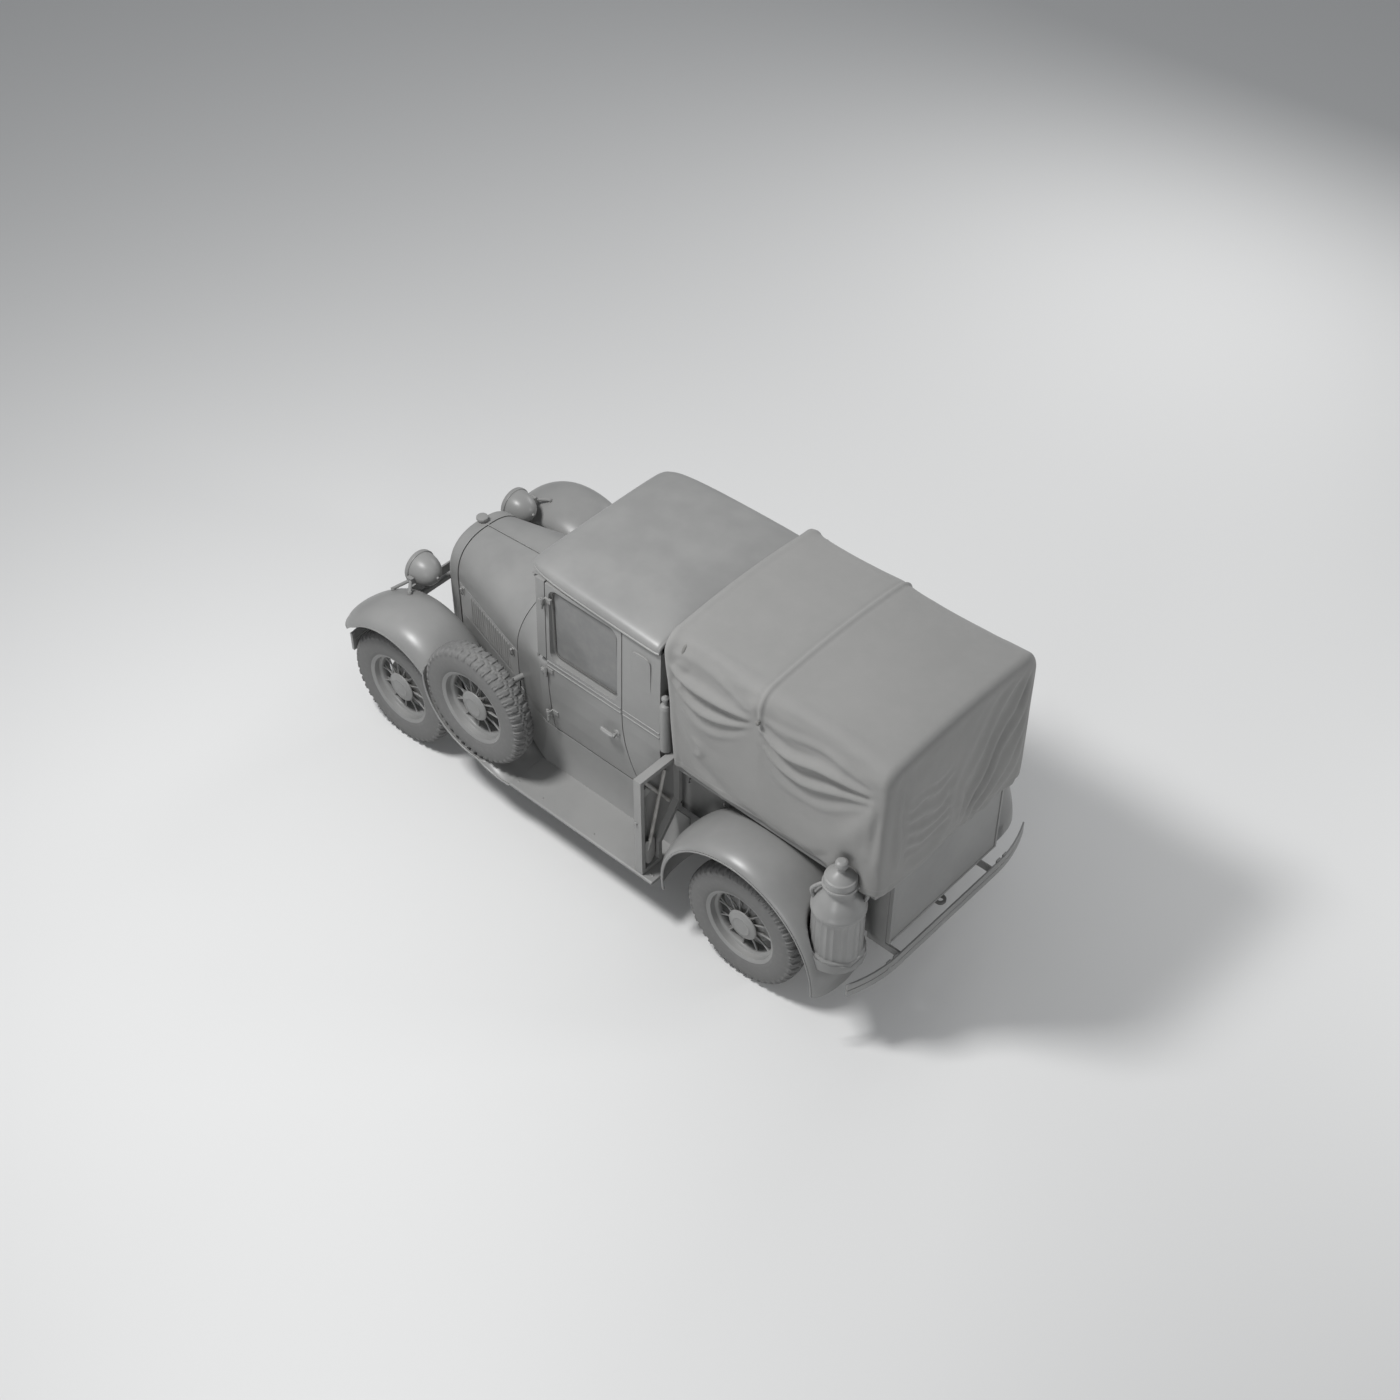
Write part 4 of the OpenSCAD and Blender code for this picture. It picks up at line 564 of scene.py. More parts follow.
def hood_top_rows(skin):
    rows = []
    for i in range(41):
        t = i / 40
        half, top = blend(*hood_halves, t) - skin, blend(*hood_tops, t) - skin
        stop = math.acos((ridge_gap / half) ** (hood_square / 2))
        rows.append([(blend(*hood_x, t), *arched(half, hood_shoulder, top, hood_square, stop * k / 36))
            for k in range(37)])
    return rows


def hood_side_rows(skin):
    fine = [0.12 + 0.7 * i / 230 for i in range(231)]
    along = [0, 0.004, 0.012, 0.06, 0.1, *fine, 0.86, 0.92, 0.96, 0.988, 0.996, 1]
    heights = [blend(hood_bottom, hood_shoulder - 0.005, k / 46) for k in range(47)]
    return [[(blend(*hood_x, t), blend(*hood_halves, t) - skin + (louvre_height(t, z) if t > 0.1 else 0), z)
        for z in heights] for t in along]


hood_sheet = 0.004
hood_side = Vector((hood_x[1] - hood_x[0], hood_halves[1] - hood_halves[0], 0)).normalized()
hood_out = Vector((-hood_side.y, hood_side.x, 0))


def on_hood_side(t, z, out):
    return Vector((blend(*hood_x, t), blend(*hood_halves, t), z)) + hood_out * out


def catch(t):
    """Spring catch at the hood side's upper edge: base plate, spring loop and thumb knob."""
    low, high = on_hood_side(t, 0.812, 0.004), on_hood_side(t, 0.858, 0.006)
    plate = [low + hood_side * s + Vector((0, 0, h)) for h in (0, 0.05) for s in (-0.011, 0.011)]
    behind = [p - hood_out * 0.004 for p in plate]
    base = shell([plate[:2], plate[2:]], [behind[:2], behind[2:]])
    loop = [low + hood_out * 0.004, low + hood_out * 0.012 + Vector((0, 0, 0.014)),
        low + hood_out * 0.014 + Vector((0, 0, 0.034)), high + hood_out * 0.004]
    knob = tube([high + hood_out * d for d in (0, 0.006, 0.012, 0.016)], [0.005, 0.009, 0.009, 0.004], 14)
    return [base, tube(through(loop, 12), 0.0032, 8), knob]


hood_parts = [shell(hood_top_rows(0), hood_top_rows(hood_sheet))]
new_piece("hood_left", hood_parts, "hood_left", body_paint, ["hood_left"], 48)
new_piece("hood_right", [mirrored(p) for p in hood_parts], "hood_right", body_paint,
    ["hood_right"], 48)
hood_parts = [shell(hood_side_rows(0), hood_side_rows(hood_sheet)), *catch(0.07), *catch(0.93)]
side_paint = painted_steel("side_paint", (0.30, 0.299, 0.293), 0.33, 0.4, 0.0)
new_piece("hood_sides", hood_parts + [mirrored(p) for p in hood_parts], "chassis", side_paint,
    ["hood_sides"], 48)

# Running boards
# Plain pressed steel boards with a rolled outer edge, bolted to the fenders, with a splash apron that curves
# up from the board to the body.
foot_end = foot_centre.x
board_rear, board_in, board_out = -0.589, 0.545, 0.845


def loft(rows):
    """A closed solid through closed sections."""
    points, faces = grid(rows, True)
    wide = len(rows[0])
    start = (len(rows) - 1) * wide
    return points, faces + [tuple(range(wide))[::-1], tuple(range(start, start + wide))]


board_section = [(board_in, board_top), (0.832, board_top), (0.8395, board_top - 0.0012),
    (0.8436, board_top - 0.0045), (board_out, board_top - 0.01), (0.8436, board_top - 0.0155),
    (0.839, board_top - 0.019), (0.832, board_top - 0.02), (board_in, board_top - 0.02)]
board_parts = [loft([[(x, y, z) for y, z in board_section]
    for x in (board_rear, board_rear + 0.004, foot_end - 0.0045, foot_end - 0.0005)])]
apron_rows, apron_back = [], []
for i in range(61):
    x = blend(board_rear, 0.785, i / 60)
    past = max(0.0, x - foot_end)
    low = board_top if not past else foot_centre.y - math.sqrt(foot_r ** 2 - past ** 2) + 0.008
    inner = blend(0.541, 0.441, past / (0.785 - foot_end))
    rise = [low + (0.606 - low) * k / 14 for k in range(15)]
    apron_rows.append([(x, inner + 0.034 * (1 - k / 14) ** 3.2, z) for k, z in enumerate(rise)])
    apron_back.append([(x, inner - 0.005 + 0.034 * (1 - k / 14) ** 3.2, z) for k, z in enumerate(rise)])
board_parts.append(shell(apron_rows, apron_back))
bolt_head = lathe([(0, 0.0042), (0.0035, 0.0039), (0.0062, 0.0026), (0.0075, 0), (0.0075, -0.002),
    (0, -0.002)], 18)
stood = Matrix.Rotation(math.radians(90), 4, "X")
for x in (board_rear + 0.03, board_rear + 0.045, -0.12, 0.27, foot_end - 0.03):
    for y in (0.572, 0.80):
        board_parts.append(moved(bolt_head, Matrix.Translation((x, y, board_top)) @ stood))
new_piece("running_boards", board_parts + [mirrored(p) for p in board_parts], "chassis", body_paint,
    ["running_boards"])

# Engine, gearbox and radiator
# Iron castings painted with dull engine enamel, a rusty exhaust, a brass and copper core behind a painted
# steel shell with a screw cap on its neck.
engine_enamel = painted_steel("engine_enamel", (0.12, 0.125, 0.12), 0.55, 0.35, 0.9)
exhaust_rust = painted_steel("exhaust_rust", (0.15, 0.125, 0.11), 0.78, 0.3, 0.6)
dress(engine_enamel, "engine")
dress(exhaust_rust, "exhaust")
core_metal, shader, place = new_finish("core_metal", Metallic=0.55)
cells = place.node("ShaderNodeTexVoronoi", {"feature": "DISTANCE_TO_EDGE"}, {"Vector": place, "Scale": 110.0})
cell_wall = 1 - cells.step(0.05, 0.22)
# Painted shade: the openings between the cell walls are near black, standing in for the shade inside the
# cells.
feed(shader, Base_Color=cell_wall.mix((0.035, 0.034, 0.032), (0.17, 0.155, 0.13)),
    Roughness=0.5 + 0.25 * place.grain(0.01),
    Normal=place.node("ShaderNodeBump", {}, {"Strength": 0.5, "Distance": 0.004, "Height": cell_wall}))
dress(core_metal, "radiator_core")

radiator_x, radiator_low, shell_depth, shell_rim = 1.460, 0.5353, 0.085, 0.038


def arch_ring(x, half, low, shoulder, top, square, steps=64):
    """Closed outline of an arch with a straight foot."""
    over = [arched(half, shoulder, top, square, math.pi * k / steps) for k in range(steps + 1)]
    side = [(half, blend(low, shoulder, k / 8)) for k in range(8)]
    return [(x, y, z) for y, z in [*side, *over, *((-y, z) for y, z in reversed(side))]]


shell_steps = [(0, 0), (0, shell_depth - 0.034), (0.0015, shell_depth - 0.024), (0.006, shell_depth - 0.014),
    (0.013, shell_depth - 0.006), (0.022, shell_depth), (0.03, shell_depth - 0.001)]
shell_rows = [arch_ring(radiator_x + x, hood_halves[1] + 0.004 - inset, radiator_low + inset, hood_shoulder,
    hood_tops[1] + 0.004 - inset, hood_square) for inset, x in shell_steps]
shell_rows += [arch_ring(radiator_x + x, hood_halves[1] - shell_rim, radiator_low + shell_rim, hood_shoulder,
    hood_tops[1] - shell_rim, hood_square) for x in (shell_depth - 0.006, shell_depth - 0.02, 0)]
cap_profile = [(0.027, -0.012), (0.0265, 0.016), (0.034, 0.0195), (0.0345, 0.022), (0.0345, 0.033),
    (0.033, 0.0355), (0.026, 0.037), (0.012, 0.038), (0, 0.038)]
cap = lathe(cap_profile, 48)
for k, p in enumerate(cap[0]):
    ring = k // 48
    if 2 <= ring <= 5:
        knurl = 1 + 0.022 * math.cos(12 * math.atan2(p.z, p.x))
        p.x, p.z = p.x * knurl, p.z * knurl
centre_bar = tube([(radiator_x + shell_depth + 0.002, 0, z)
    for z in (hood_tops[1] - 0.03, radiator_low + 0.03)], 0.004, 10)
new_piece("radiator_shell", [grid(shell_rows + shell_rows[:1], True),
    moved(cap, Matrix.Translation((radiator_x + 0.048, 0, hood_tops[1])) @ stood), centre_bar],
    "chassis", body_paint, ["radiator_shell"])

# Cowl
# Steel pressing between hood and doors, with the firewall, the instrument panel, the hood's piano hinge and
# the arm that carries the spare wheel welded to it.
pillar_x, screen_x, cowl_front = 0.412, 0.474, 0.785
sill, belt, scuttle = 0.612, 1.130, 1.158
cab_half, cab_tuck, cab_lean = 0.578, 0.036, 0.018
# Place, half width, tuck, shoulder, top, squareness of each section
cowl_knots = ((pillar_x, 0.575, 0.033, belt - 0.11, scuttle, 5.0),
    (screen_x + 0.004, 0.571, 0.032, belt - 0.11, scuttle, 5.0),
    (0.614, 0.523, 0.018, belt - 0.18, scuttle + 0.01, 3.6),
    (cowl_front, 0.445, 0.008, hood_shoulder, hood_tops[0], hood_square))


def cowl_rows(skin):
    rows = []
    for i in range(33):
        t = 3 * i / 32
        k = min(int(t), 2)
        ends = zip(cowl_knots[k], cowl_knots[k + 1])
        x, half, tuck, shoulder, top, square = (blend(a, b, t - k) for a, b in ends)
        half, top = half - skin, top - skin
        rise = [blend(sill, shoulder, j / 16) for j in range(16)]
        side = [(half - tuck * ((shoulder - z) / (shoulder - sill)) ** 2, z) for z in rise]
        over = [arched(half, shoulder, top, square, math.pi * j / 64) for j in range(65)]
        rows.append([(x, y, z) for y, z in [*side, *over, *((-y, z) for y, z in reversed(side))]])
    return rows


def slab(outline, x0, x1):
    """A plate across the truck from an outline in Y and Z."""
    return loft([[(x, y, z) for y, z in outline] for x in (x0, x1)])


firewall = [p[1:] for p in arch_ring(0, 0.435, sill, hood_shoulder, hood_tops[0] - 0.01, hood_square)]
panel = [(-0.553, 1.012), (-0.553, 1.128), (0.553, 1.128), (0.553, 1.012)]
arm_end = (spare_at.x, 0.708, spare_at.z)
arm_knots = [(0.735, 0.433, spare_at.z), (0.748, 0.52, spare_at.z), (spare_at.x, 0.62, spare_at.z), arm_end]
arm = tube(through(arm_knots, 16), 0.018, 20)
flange_profile = [(0, -0.002), (0.042, -0.002), (0.049, 0.0005), (0.05, 0.003), (0.05, 0.0097), (0, 0.0097)]
flange = moved(lathe(flange_profile, 48), Matrix.Translation(arm_end))
hinge_rod = tube([(0.777, 0, 1.181), (1.4597, 0, 1.131)], 0.004, 14)
hinge_x, hinge_y = 0.409, 0.590


def pillar_hinge(z):
    """Lower half of a door hinge: a barrel with a domed end and a strap on the pillar."""
    barrel = [(0, -0.0365), (0.006, -0.036), (0.009, -0.033), (0.009, -0.001), (0.004, -0.001),
        (0.004, 0.031), (0, 0.032)]
    at = side_y(z)
    strap = [(hinge_x + 0.002, at + 0.006), (hinge_x + 0.047, at + 0.006), (hinge_x + 0.047, at - 0.012),
        (hinge_x + 0.002, at - 0.012)]
    return [moved(lathe(barrel, 28), Matrix.Translation((hinge_x, hinge_y, z)) @ stood),
        loft([[(x, y, z - h) for x, y in strap] for h in (0.032, 0.004)]),
        *(moved(bolt_head, Matrix.Translation((hinge_x + d, at + 0.006, z - 0.018))) for d in (0.018, 0.036))]


def side_y(z):
    """Half width of the cab at a height."""
    if z < belt:
        return cab_half - cab_tuck * ((belt - z) / (belt - sill)) ** 2
    return cab_half - cab_lean * (z - belt) / 0.56


cowl_hinges = [part for z in (belt - 0.39, belt - 0.06) for part in pillar_hinge(z)]
new_piece("cowl", [shell(cowl_rows(0), cowl_rows(0.022)),
    slab(firewall, cowl_front - 0.014, cowl_front - 0.002),
    slab(panel, screen_x + 0.02, screen_x + 0.032), hinge_rod, arm, flange, *cowl_hinges,
    *(mirrored(p) for p in cowl_hinges)],
    "chassis", body_paint, ["cowl"])

# Cab
# Steel panels over a wooden frame: back wall with quarter panels, two doors, windscreen frame, and a
# crowned roof with a drip moulding and a visor. Rubber channels hold the glass, and the floor is boarded.
dress(body_paint, "cab_back", "door_left", "door_right", "windscreen_frame")
dress(chassis_paint, "cab_floor")
cab_rear, roof_z, roof_rise, roof_edge, roof_sheet = -0.412, 1.690, 0.098, 0.012, 0.009
# Place from the rear wall, half width, share of the rise
roof_knots = ((0, 0.564, 0.66), (0.010, 0.570, 0.80), (0.060, 0.574, 0.92), (0.300, 0.570, 1),
    (0.640, 0.558, 1), (0.840, 0.540, 0.9), (0.930, 0.516, 0.62), (0.964, 0.490, 0.34), (0.974, 0.468, 0.16))
roof_run = through(roof_knots, 81)


def roof_rows(skin):
    rows = []
    for x, half, share in roof_run:
        top = roof_z + roof_edge + (roof_rise - roof_edge) * share - skin
        over = [arched(half - skin, roof_z + roof_edge, top, 3.4, math.pi * k / 72) for k in range(73)]
        edge = [(half - skin - 0.006, roof_z + 0.001), (half - skin - 0.001, roof_z + 0.005)]
        rows.append([(cab_rear + x, y, z) for y, z in [*edge, *over, *((-y, z) for y, z in reversed(edge))]])
    return rows


drip = [Vector((cab_rear + x, half + 0.0005, roof_z + 0.011)) for x, half, share in roof_run[6:-4]]
drip_front = [Vector((cab_rear + 0.972, y, roof_z + 0.009)) for y in (0.46, 0.3, 0, -0.3, -0.46)]
visor_half, visor_steps = 0.5, [k / 8 for k in range(9)]
visor_rows = []
for j in range(-12, 13):
    y = visor_half * j / 12
    visor_rows.append([(0.470 + 0.078 * t, y, 1.658 - 0.030 * t ** 1.4 - 0.012 * (abs(y) / visor_half) ** 3)
        for t in visor_steps])
visor_under = [[(x, y, z - 0.005) for x, y, z in row] for row in visor_rows]
visor_edge = tube([Vector(row[-1]) - Vector((0, 0, 0.0025)) for row in visor_rows], 0.0048, 10)
stays = [tube(through([(0.474, y, 1.612), (0.505, y, 1.612), (0.535, y, 1.626)], 8), 0.0045, 10)
    for y in (-0.40, 0.40)]
new_piece("cab_roof", [shell(roof_rows(0), roof_rows(roof_sheet)), tube(drip, 0.0062, 10),
    mirrored(tube(drip, 0.0062, 10)), tube(drip_front, 0.0055, 10)], "chassis", body_paint,
    ["cab_roof"], 50)
new_piece("visor", [shell(visor_rows, visor_under), visor_edge, *stays], "chassis", body_paint)

rubber_strip, shader, place = new_finish("rubber_strip", Specular_IOR_Level=0.3)
crumbs = place.grain(0.004, 3)
feed(shader, Base_Color=crumbs.step(0.3, 0.8).mix((0.07, 0.07, 0.069), (0.13, 0.128, 0.122)),
    Roughness=0.6 + 0.2 * crumbs)


def rounded_frame(low, high, corner, steps=10):
    """Path round a rectangle with rounded corners, in two directions of a plane."""
    centres = ((high[0] - corner, high[1] - corner), (low[0] + corner, high[1] - corner),
        (low[0] + corner, low[1] + corner), (high[0] - corner, low[1] + corner))
    return [(u + corner * math.cos(a), v + corner * math.sin(a)) for q, (u, v) in enumerate(centres)
        for a in (math.pi / 2 * (q + k / steps) for k in range(steps + 1))]


window_path = rounded_frame((-0.094, 1.188), (0.366, 1.646), 0.042)
for side, body in ((1, "door_left"), (-1, "door_right")):
    channel = [tube([(x, side * 0.5445, z) for x, z in window_path], 0.0058, 10, True)]
    new_piece("window_channel_" + body[5:], channel, body, rubber_strip)
screen_path = rounded_frame((-0.515, 1.202), (0.515, 1.634), 0.012)
rear_path = rounded_frame((-0.260, 1.300), (0.260, 1.550), 0.045)
new_piece("cab_gaskets", [tube([(cab_rear - 0.001, y, z) for y, z in rear_path], 0.008, 10, True),
    tube([(0.462, y, z) for y, z in screen_path], 0.007, 10, True)], "chassis", rubber_strip)

rose = lathe([(0, 0.007), (0.012, 0.007), (0.019, 0.005), (0.022, 0.001), (0.022, -0.006), (0, -0.006)], 32)
lever_radii = [0.0085] * 8 + [0.0095] * 16 + [0.0088, 0.0082, 0.0075, 0.0065, 0.005, 0.002]
for side, body in ((1, "door_left"), (-1, "door_right")):
    at = Vector((-0.100, side_y(0.940) + 0.001, 0.940))
    lever = [at + Vector(d) for d in ((0, 0.004, 0), (0, 0.026, 0), (0.006, 0.036, 0), (0.026, 0.039, 0.001),
        (0.07, 0.037, 0.002), (0.092, 0.034, 0.002))]
    handle = [moved(rose, Matrix.Translation(at)), tube(through(lever, 30), lever_radii, 14)]
    new_piece("handle_" + body[5:], handle if side > 0 else [mirrored(p) for p in handle], body, body_paint)

wiper_knots = [(0.476, 0.25, 1.622), (0.484, 0.245, 1.58), (0.486, 0.215, 1.44), (0.482, 0.19, 1.33)]
wiper_motor = lathe([(0, 0.012), (0.009, 0.011), (0.012, 0.006), (0.012, -0.012), (0, -0.012)], 24)
along_x = Matrix.Rotation(math.radians(-90), 4, "Z")
wiper = [tube(through(wiper_knots, 24), 0.0034, 8),
    tube([(0.4815, 0.222, 1.50), (0.4805, 0.185, 1.29)], 0.0045, 8),
    moved(wiper_motor, Matrix.Translation((0.48, 0.25, 1.625)) @ along_x)]
new_piece("wiper", wiper, "chassis", chassis_paint)

pane_glass, shader, place = new_finish("pane_glass", Specular_IOR_Level=0.5)
streaks = place.grain(0.09, 4, 0.6)
film = streaks.step(0.3, 0.8)
feed(shader, Base_Color=film.mix((0.175, 0.177, 0.176), (0.20, 0.20, 0.196)), Roughness=0.12 + 0.14 * film,
    Alpha=0.86 + 0.06 * film)
dress(pane_glass, "cab_glass", "door_glass_left", "door_glass_right")

# Seat, steering wheel and controls
# A bench with a sprung cushion and back in pleated leathercloth over a plywood box, and a hard rubber wheel
# with finger grips on a steel spider. The gear and brake levers stand on the gearbox.
leather, shader, place = new_finish("seat_leather", Specular_IOR_Level=0.4)
pores, creases = place.grain(0.0028, 3), place.grain(0.05, 4, 0.6)
rub = creases.step(0.45, 0.75)
feed(shader, Base_Color=rub.mix((0.065, 0.062, 0.058), (0.12, 0.115, 0.105)), Roughness=0.42 + 0.2 * rub,
    Normal=place.node("ShaderNodeBump", {}, {"Strength": 0.25, "Distance": 0.0015,
    "Height": pores + 0.6 * creases}))
seat_half = 0.498


def cushion(centre, deep, high, lean, pleats):
    """A pleated pad across the cab: rounded sections swelling between the pleats, pinched at the seams."""
    rows = []
    count = 12 * pleats
    for i in range(count + 1):
        t = i / count
        y = blend(-seat_half, seat_half, t)
        valley = abs(math.sin(math.pi * pleats * t)) ** 0.55
        end = math.sqrt(max(0.0, 1 - (abs(2 * t - 1)) ** 26))
        swell = (0.93 + 0.07 * valley) * (0.55 + 0.45 * end)
        row = []
        for k in range(40):
            a = 2 * math.pi * k / 40
            c, s = math.cos(a), math.sin(a)
            u = 0.5 * deep * math.copysign(abs(c) ** 0.4, c) * (0.7 + 0.3 * end)
            v = 0.5 * high * math.copysign(abs(s) ** 0.45, s) * swell
            row.append((centre[0] + u * math.cos(lean) - v * math.sin(lean), y,
                centre[1] + u * math.sin(lean) + v * math.cos(lean)))
        rows.append(row)
    return loft(rows)


seat_back_x = cab_rear + 0.042
cushion_part = cushion((seat_back_x + 0.275, 0.825), 0.430, 0.128, 0.0, 10)
back_part = cushion((seat_back_x + 0.078, 1.088), 0.086, 0.436, math.radians(8), 10)
piping = [tube([(seat_back_x + 0.484, y, 0.776) for y in (-0.49, -0.25, 0, 0.25, 0.49)], 0.006, 10)]
seat = new_piece("bench_cushions", [cushion_part, back_part, *piping], "chassis", leather,
    ["bench_seat"], 70)
box_edge = [(-0.458, 0.571), (-0.458, 0.760), (0.458, 0.760), (0.458, 0.571)]
box_front = seat_back_x + 0.45
box_parts = [slab(box_edge, seat_back_x + 0.07, box_front)]
for y in (-0.3, 0, 0.3):
    face_edge = [(y - 0.1, 0.60), (y - 0.1, 0.73), (y + 0.1, 0.73), (y + 0.1, 0.60)]
    box_parts.append(slab(face_edge, box_front, box_front + 0.005))
new_piece("seat_box", box_parts, "chassis", chassis_paint)

column_foot, column_head = Vector((0.795, 0.300, 0.640)), Vector((0.178, 0.300, 1.110))
wheel_turn = (column_head - column_foot).to_track_quat("Y", "X").to_matrix().to_4x4()
wheel_stand = Matrix.Translation(column_head) @ wheel_turn
rim_r, rim_steps, finger_grips = 0.205, 120, 30
rim_turns = [2 * math.pi * k / rim_steps for k in range(rim_steps)]
rim_path = [(rim_r * math.cos(a), 0, rim_r * math.sin(a)) for a in rim_turns]
rim_radii = [0.0105 - 0.0014 * (0.5 + 0.5 * math.cos(finger_grips * a)) for a in rim_turns]
rim = tube(rim_path, rim_radii, 12, True)
spider, spider_knots = [], ((0.024, 0.002), (0.08, -0.003), (0.15, -0.003), (0.200, 0))
for k in range(4):
    a = math.radians(45 + 90 * k)
    spoke = [(r * math.cos(a), y, r * math.sin(a)) for r, y in spider_knots]
    spider.append(tube(through(spoke, 14), [0.009 - 0.003 * k / 13 for k in range(14)], 10))
hub = lathe([(0, 0.012), (0.014, 0.0115), (0.018, 0.0105), (0.019, 0.008), (0.03, 0.0065), (0.034, 0.002),
    (0.034, -0.008), (0.03, -0.011), (0, -0.011)], 40)
hard_rubber = painted_steel("hard_rubber", (0.045, 0.045, 0.044), 0.35, 0.3, 0.5, 0.001)
new_piece("steering_wheel", [moved(p, wheel_stand) for p in (rim, hub, *spider)], "steering_wheel",
    hard_rubber, ["steering_wheel"])
levers = []
ball = lathe([(0, 0.02), (0.010, 0.018), (0.017, 0.008), (0.018, 0), (0.014, -0.012), (0.008, -0.018),
    (0, -0.018)], 24)
for x, y, top_x, high in ((0.42, 0.03, 0.33, 1.0), (0.37, -0.05, 0.31, 0.93)):
    path = through([(x, y, 0.572), (x - 0.005, y, 0.70), (top_x + 0.02, y, 0.86), (top_x, y, high)], 20)
    levers += [tube(path, 0.0075, 10), moved(ball, Matrix.Translation((top_x, y, high + 0.012)) @ stood)]
pad_edge = ((0.612, -0.026, 0.70), (0.612, 0.026, 0.70), (0.606, 0.026, 0.704), (0.606, -0.026, 0.704))
for y in (0.20, 0.29, 0.38):
    levers += [tube(through([(0.70, y, 0.60), (0.66, y, 0.66), (0.615, y, 0.69)], 10), 0.006, 8),
        loft([[(u + d * 0.6, y + w, h + d) for u, w, h in pad_edge] for d in (-0.03, 0.03)])]
new_piece("levers_and_pedals", levers, "chassis", chassis_paint)
dial = lathe([(0, 0.004), (0.032, 0.004), (0.036, 0.007), (0.04, 0.0065), (0.041, 0.002), (0.041, -0.003),
    (0, -0.003)], 40)
to_rear = Matrix.Rotation(math.radians(90), 4, "Z")
dial_faces = [moved(dial, Matrix.Translation((screen_x + 0.0195, y, 1.072)) @ to_rear)
    for y in (0.05, -0.07, 0.17)]
new_piece("dials", dial_faces, "chassis", hard_rubber)

# Cargo tub
# Welded steel tub with flared rails, bolted to the frame, and a flat tailgate with a thin border. Hooks
# under the rail take the tilt's lacing.
dress(body_paint, "cargo_tub", "tailgate")
hook_places = (-0.585, -0.83, -1.085, -1.34)
boss = lathe([(0, 0.004), (0.012, 0.004), (0.014, 0.002), (0.014, -0.03), (0, -0.03)], 24)
hooks = []
for x in hook_places:
    bend = [(x, 0.498, 0.905), (x, 0.530, 0.905), (x, 0.542, 0.899), (x, 0.544, 0.888), (x, 0.536, 0.880)]
    hooks += [tube(through(bend, 18), 0.0045, 10), moved(boss, Matrix.Translation((x, 0.490, 0.905)))]
new_piece("tub_hooks", hooks + [mirrored(p) for p in hooks], "chassis", chassis_paint)

# Tilt
# One heavy cotton canvas over three tube bows: a top with its sides, and a rear curtain sewn on. It is
# laced to the tub's rail and hangs slack between the bows and at the rear, so it is simulated as cloth.
tilt_half, tilt_top, tilt_crown, tilt_corner = 0.590, 1.899, 0.024, 0.110
tilt_front, tilt_back, tilt_rake, hem_z = -0.458, -1.884, 0.069, 1.016
bow_places, nose_r = (-0.560, -1.085, -1.824), 0.052
side_steps, top_steps, long_steps, nose_steps = 42, 58, 68, 5
tilt_slack = 0.02


def spread(path, count):
    """Points evenly spaced along a path."""
    path = np.array([tuple(p) for p in path])
    far = np.concatenate([[0], np.cumsum(np.linalg.norm(np.diff(path, axis=0), axis=1))])
    wanted = np.linspace(0, far[-1], count)
    return np.stack([np.interp(wanted, far, path[:, k]) for k in range(path.shape[1])], 1)


def tilt_ring(x, inset, rake, sag):
    """Section of the tilt from the left hem over the top to the right hem."""
    half, top, r = tilt_half - inset, tilt_top - inset, tilt_corner - 0.5 * inset
    turn = [math.radians(84) * k / 24 for k in range(25)]
    corner = [(half - r + r * math.cos(a), top - tilt_crown - r + r * math.sin(a)) for a in turn]
    end_y = corner[-1][0]
    crown = [(k / 20 * end_y, top - tilt_crown * (k / 20) ** 2 * (end_y / (half - r)) ** 2 - sag)
        for k in range(19, 0, -1)]
    side = spread([(half, hem_z), *corner[:13]], side_steps + 1)
    left_top = [*corner[12:], *crown, (0, top - sag)]
    over = spread(left_top + [(-y, z) for y, z in reversed(left_top[:-1])], top_steps + 1)
    ring = [*side, *over[1:-1], *((-y, z) for y, z in side[::-1])]
    return [Vector((x - rake * (tilt_top - z) / (tilt_top - hem_z), y, z)) for y, z in ring]


tilt_rings = []
for i in range(long_steps + 1):
    t = i / long_steps
    x = blend(tilt_front, tilt_back + nose_r, t)
    bay = min(abs(x - b) for b in bow_places)
    tilt_rings.append(tilt_ring(x, 0, tilt_rake * (1 - ease(0, 0.16, t)), 0.008 * ease(0, 0.2, bay)))
for i in range(1, nose_steps + 1):
    a = 0.5 * math.pi * i / nose_steps
    tilt_rings.append(tilt_ring(tilt_back + nose_r * (1 - math.sin(a)), nose_r * (1 - math.cos(a)), 0, 0))
ring_size = 2 * side_steps + top_steps + 1
cloth_points, tilt_faces = grid(tilt_rings)
last = len(cloth_points) - ring_size
edge = cloth_points[last:]
curtain = {}
for i in range(top_steps + 1):
    for j in range(side_steps + 1):
        if i == 0:
            curtain[i, j] = last + j
        elif i == top_steps:
            curtain[i, j] = last + ring_size - 1 - j
        elif j == side_steps:
            curtain[i, j] = last + side_steps + i
        else:
            u, v = i / top_steps, j / side_steps
            left, right, over, under = edge[j], edge[-1 - j], edge[side_steps + i], edge[0].lerp(edge[-1], u)
            flat = (edge[0].lerp(edge[-1], u)).lerp(edge[side_steps].lerp(edge[side_steps + top_steps], u), v)
            curtain[i, j] = len(cloth_points)
            cloth_points.append(left.lerp(right, u) + under.lerp(over, v) - flat)
cloth_faces = tilt_faces + [(curtain[i, j], curtain[i + 1, j], curtain[i + 1, j + 1], curtain[i, j + 1])
    for i in range(top_steps) for j in range(side_steps)]
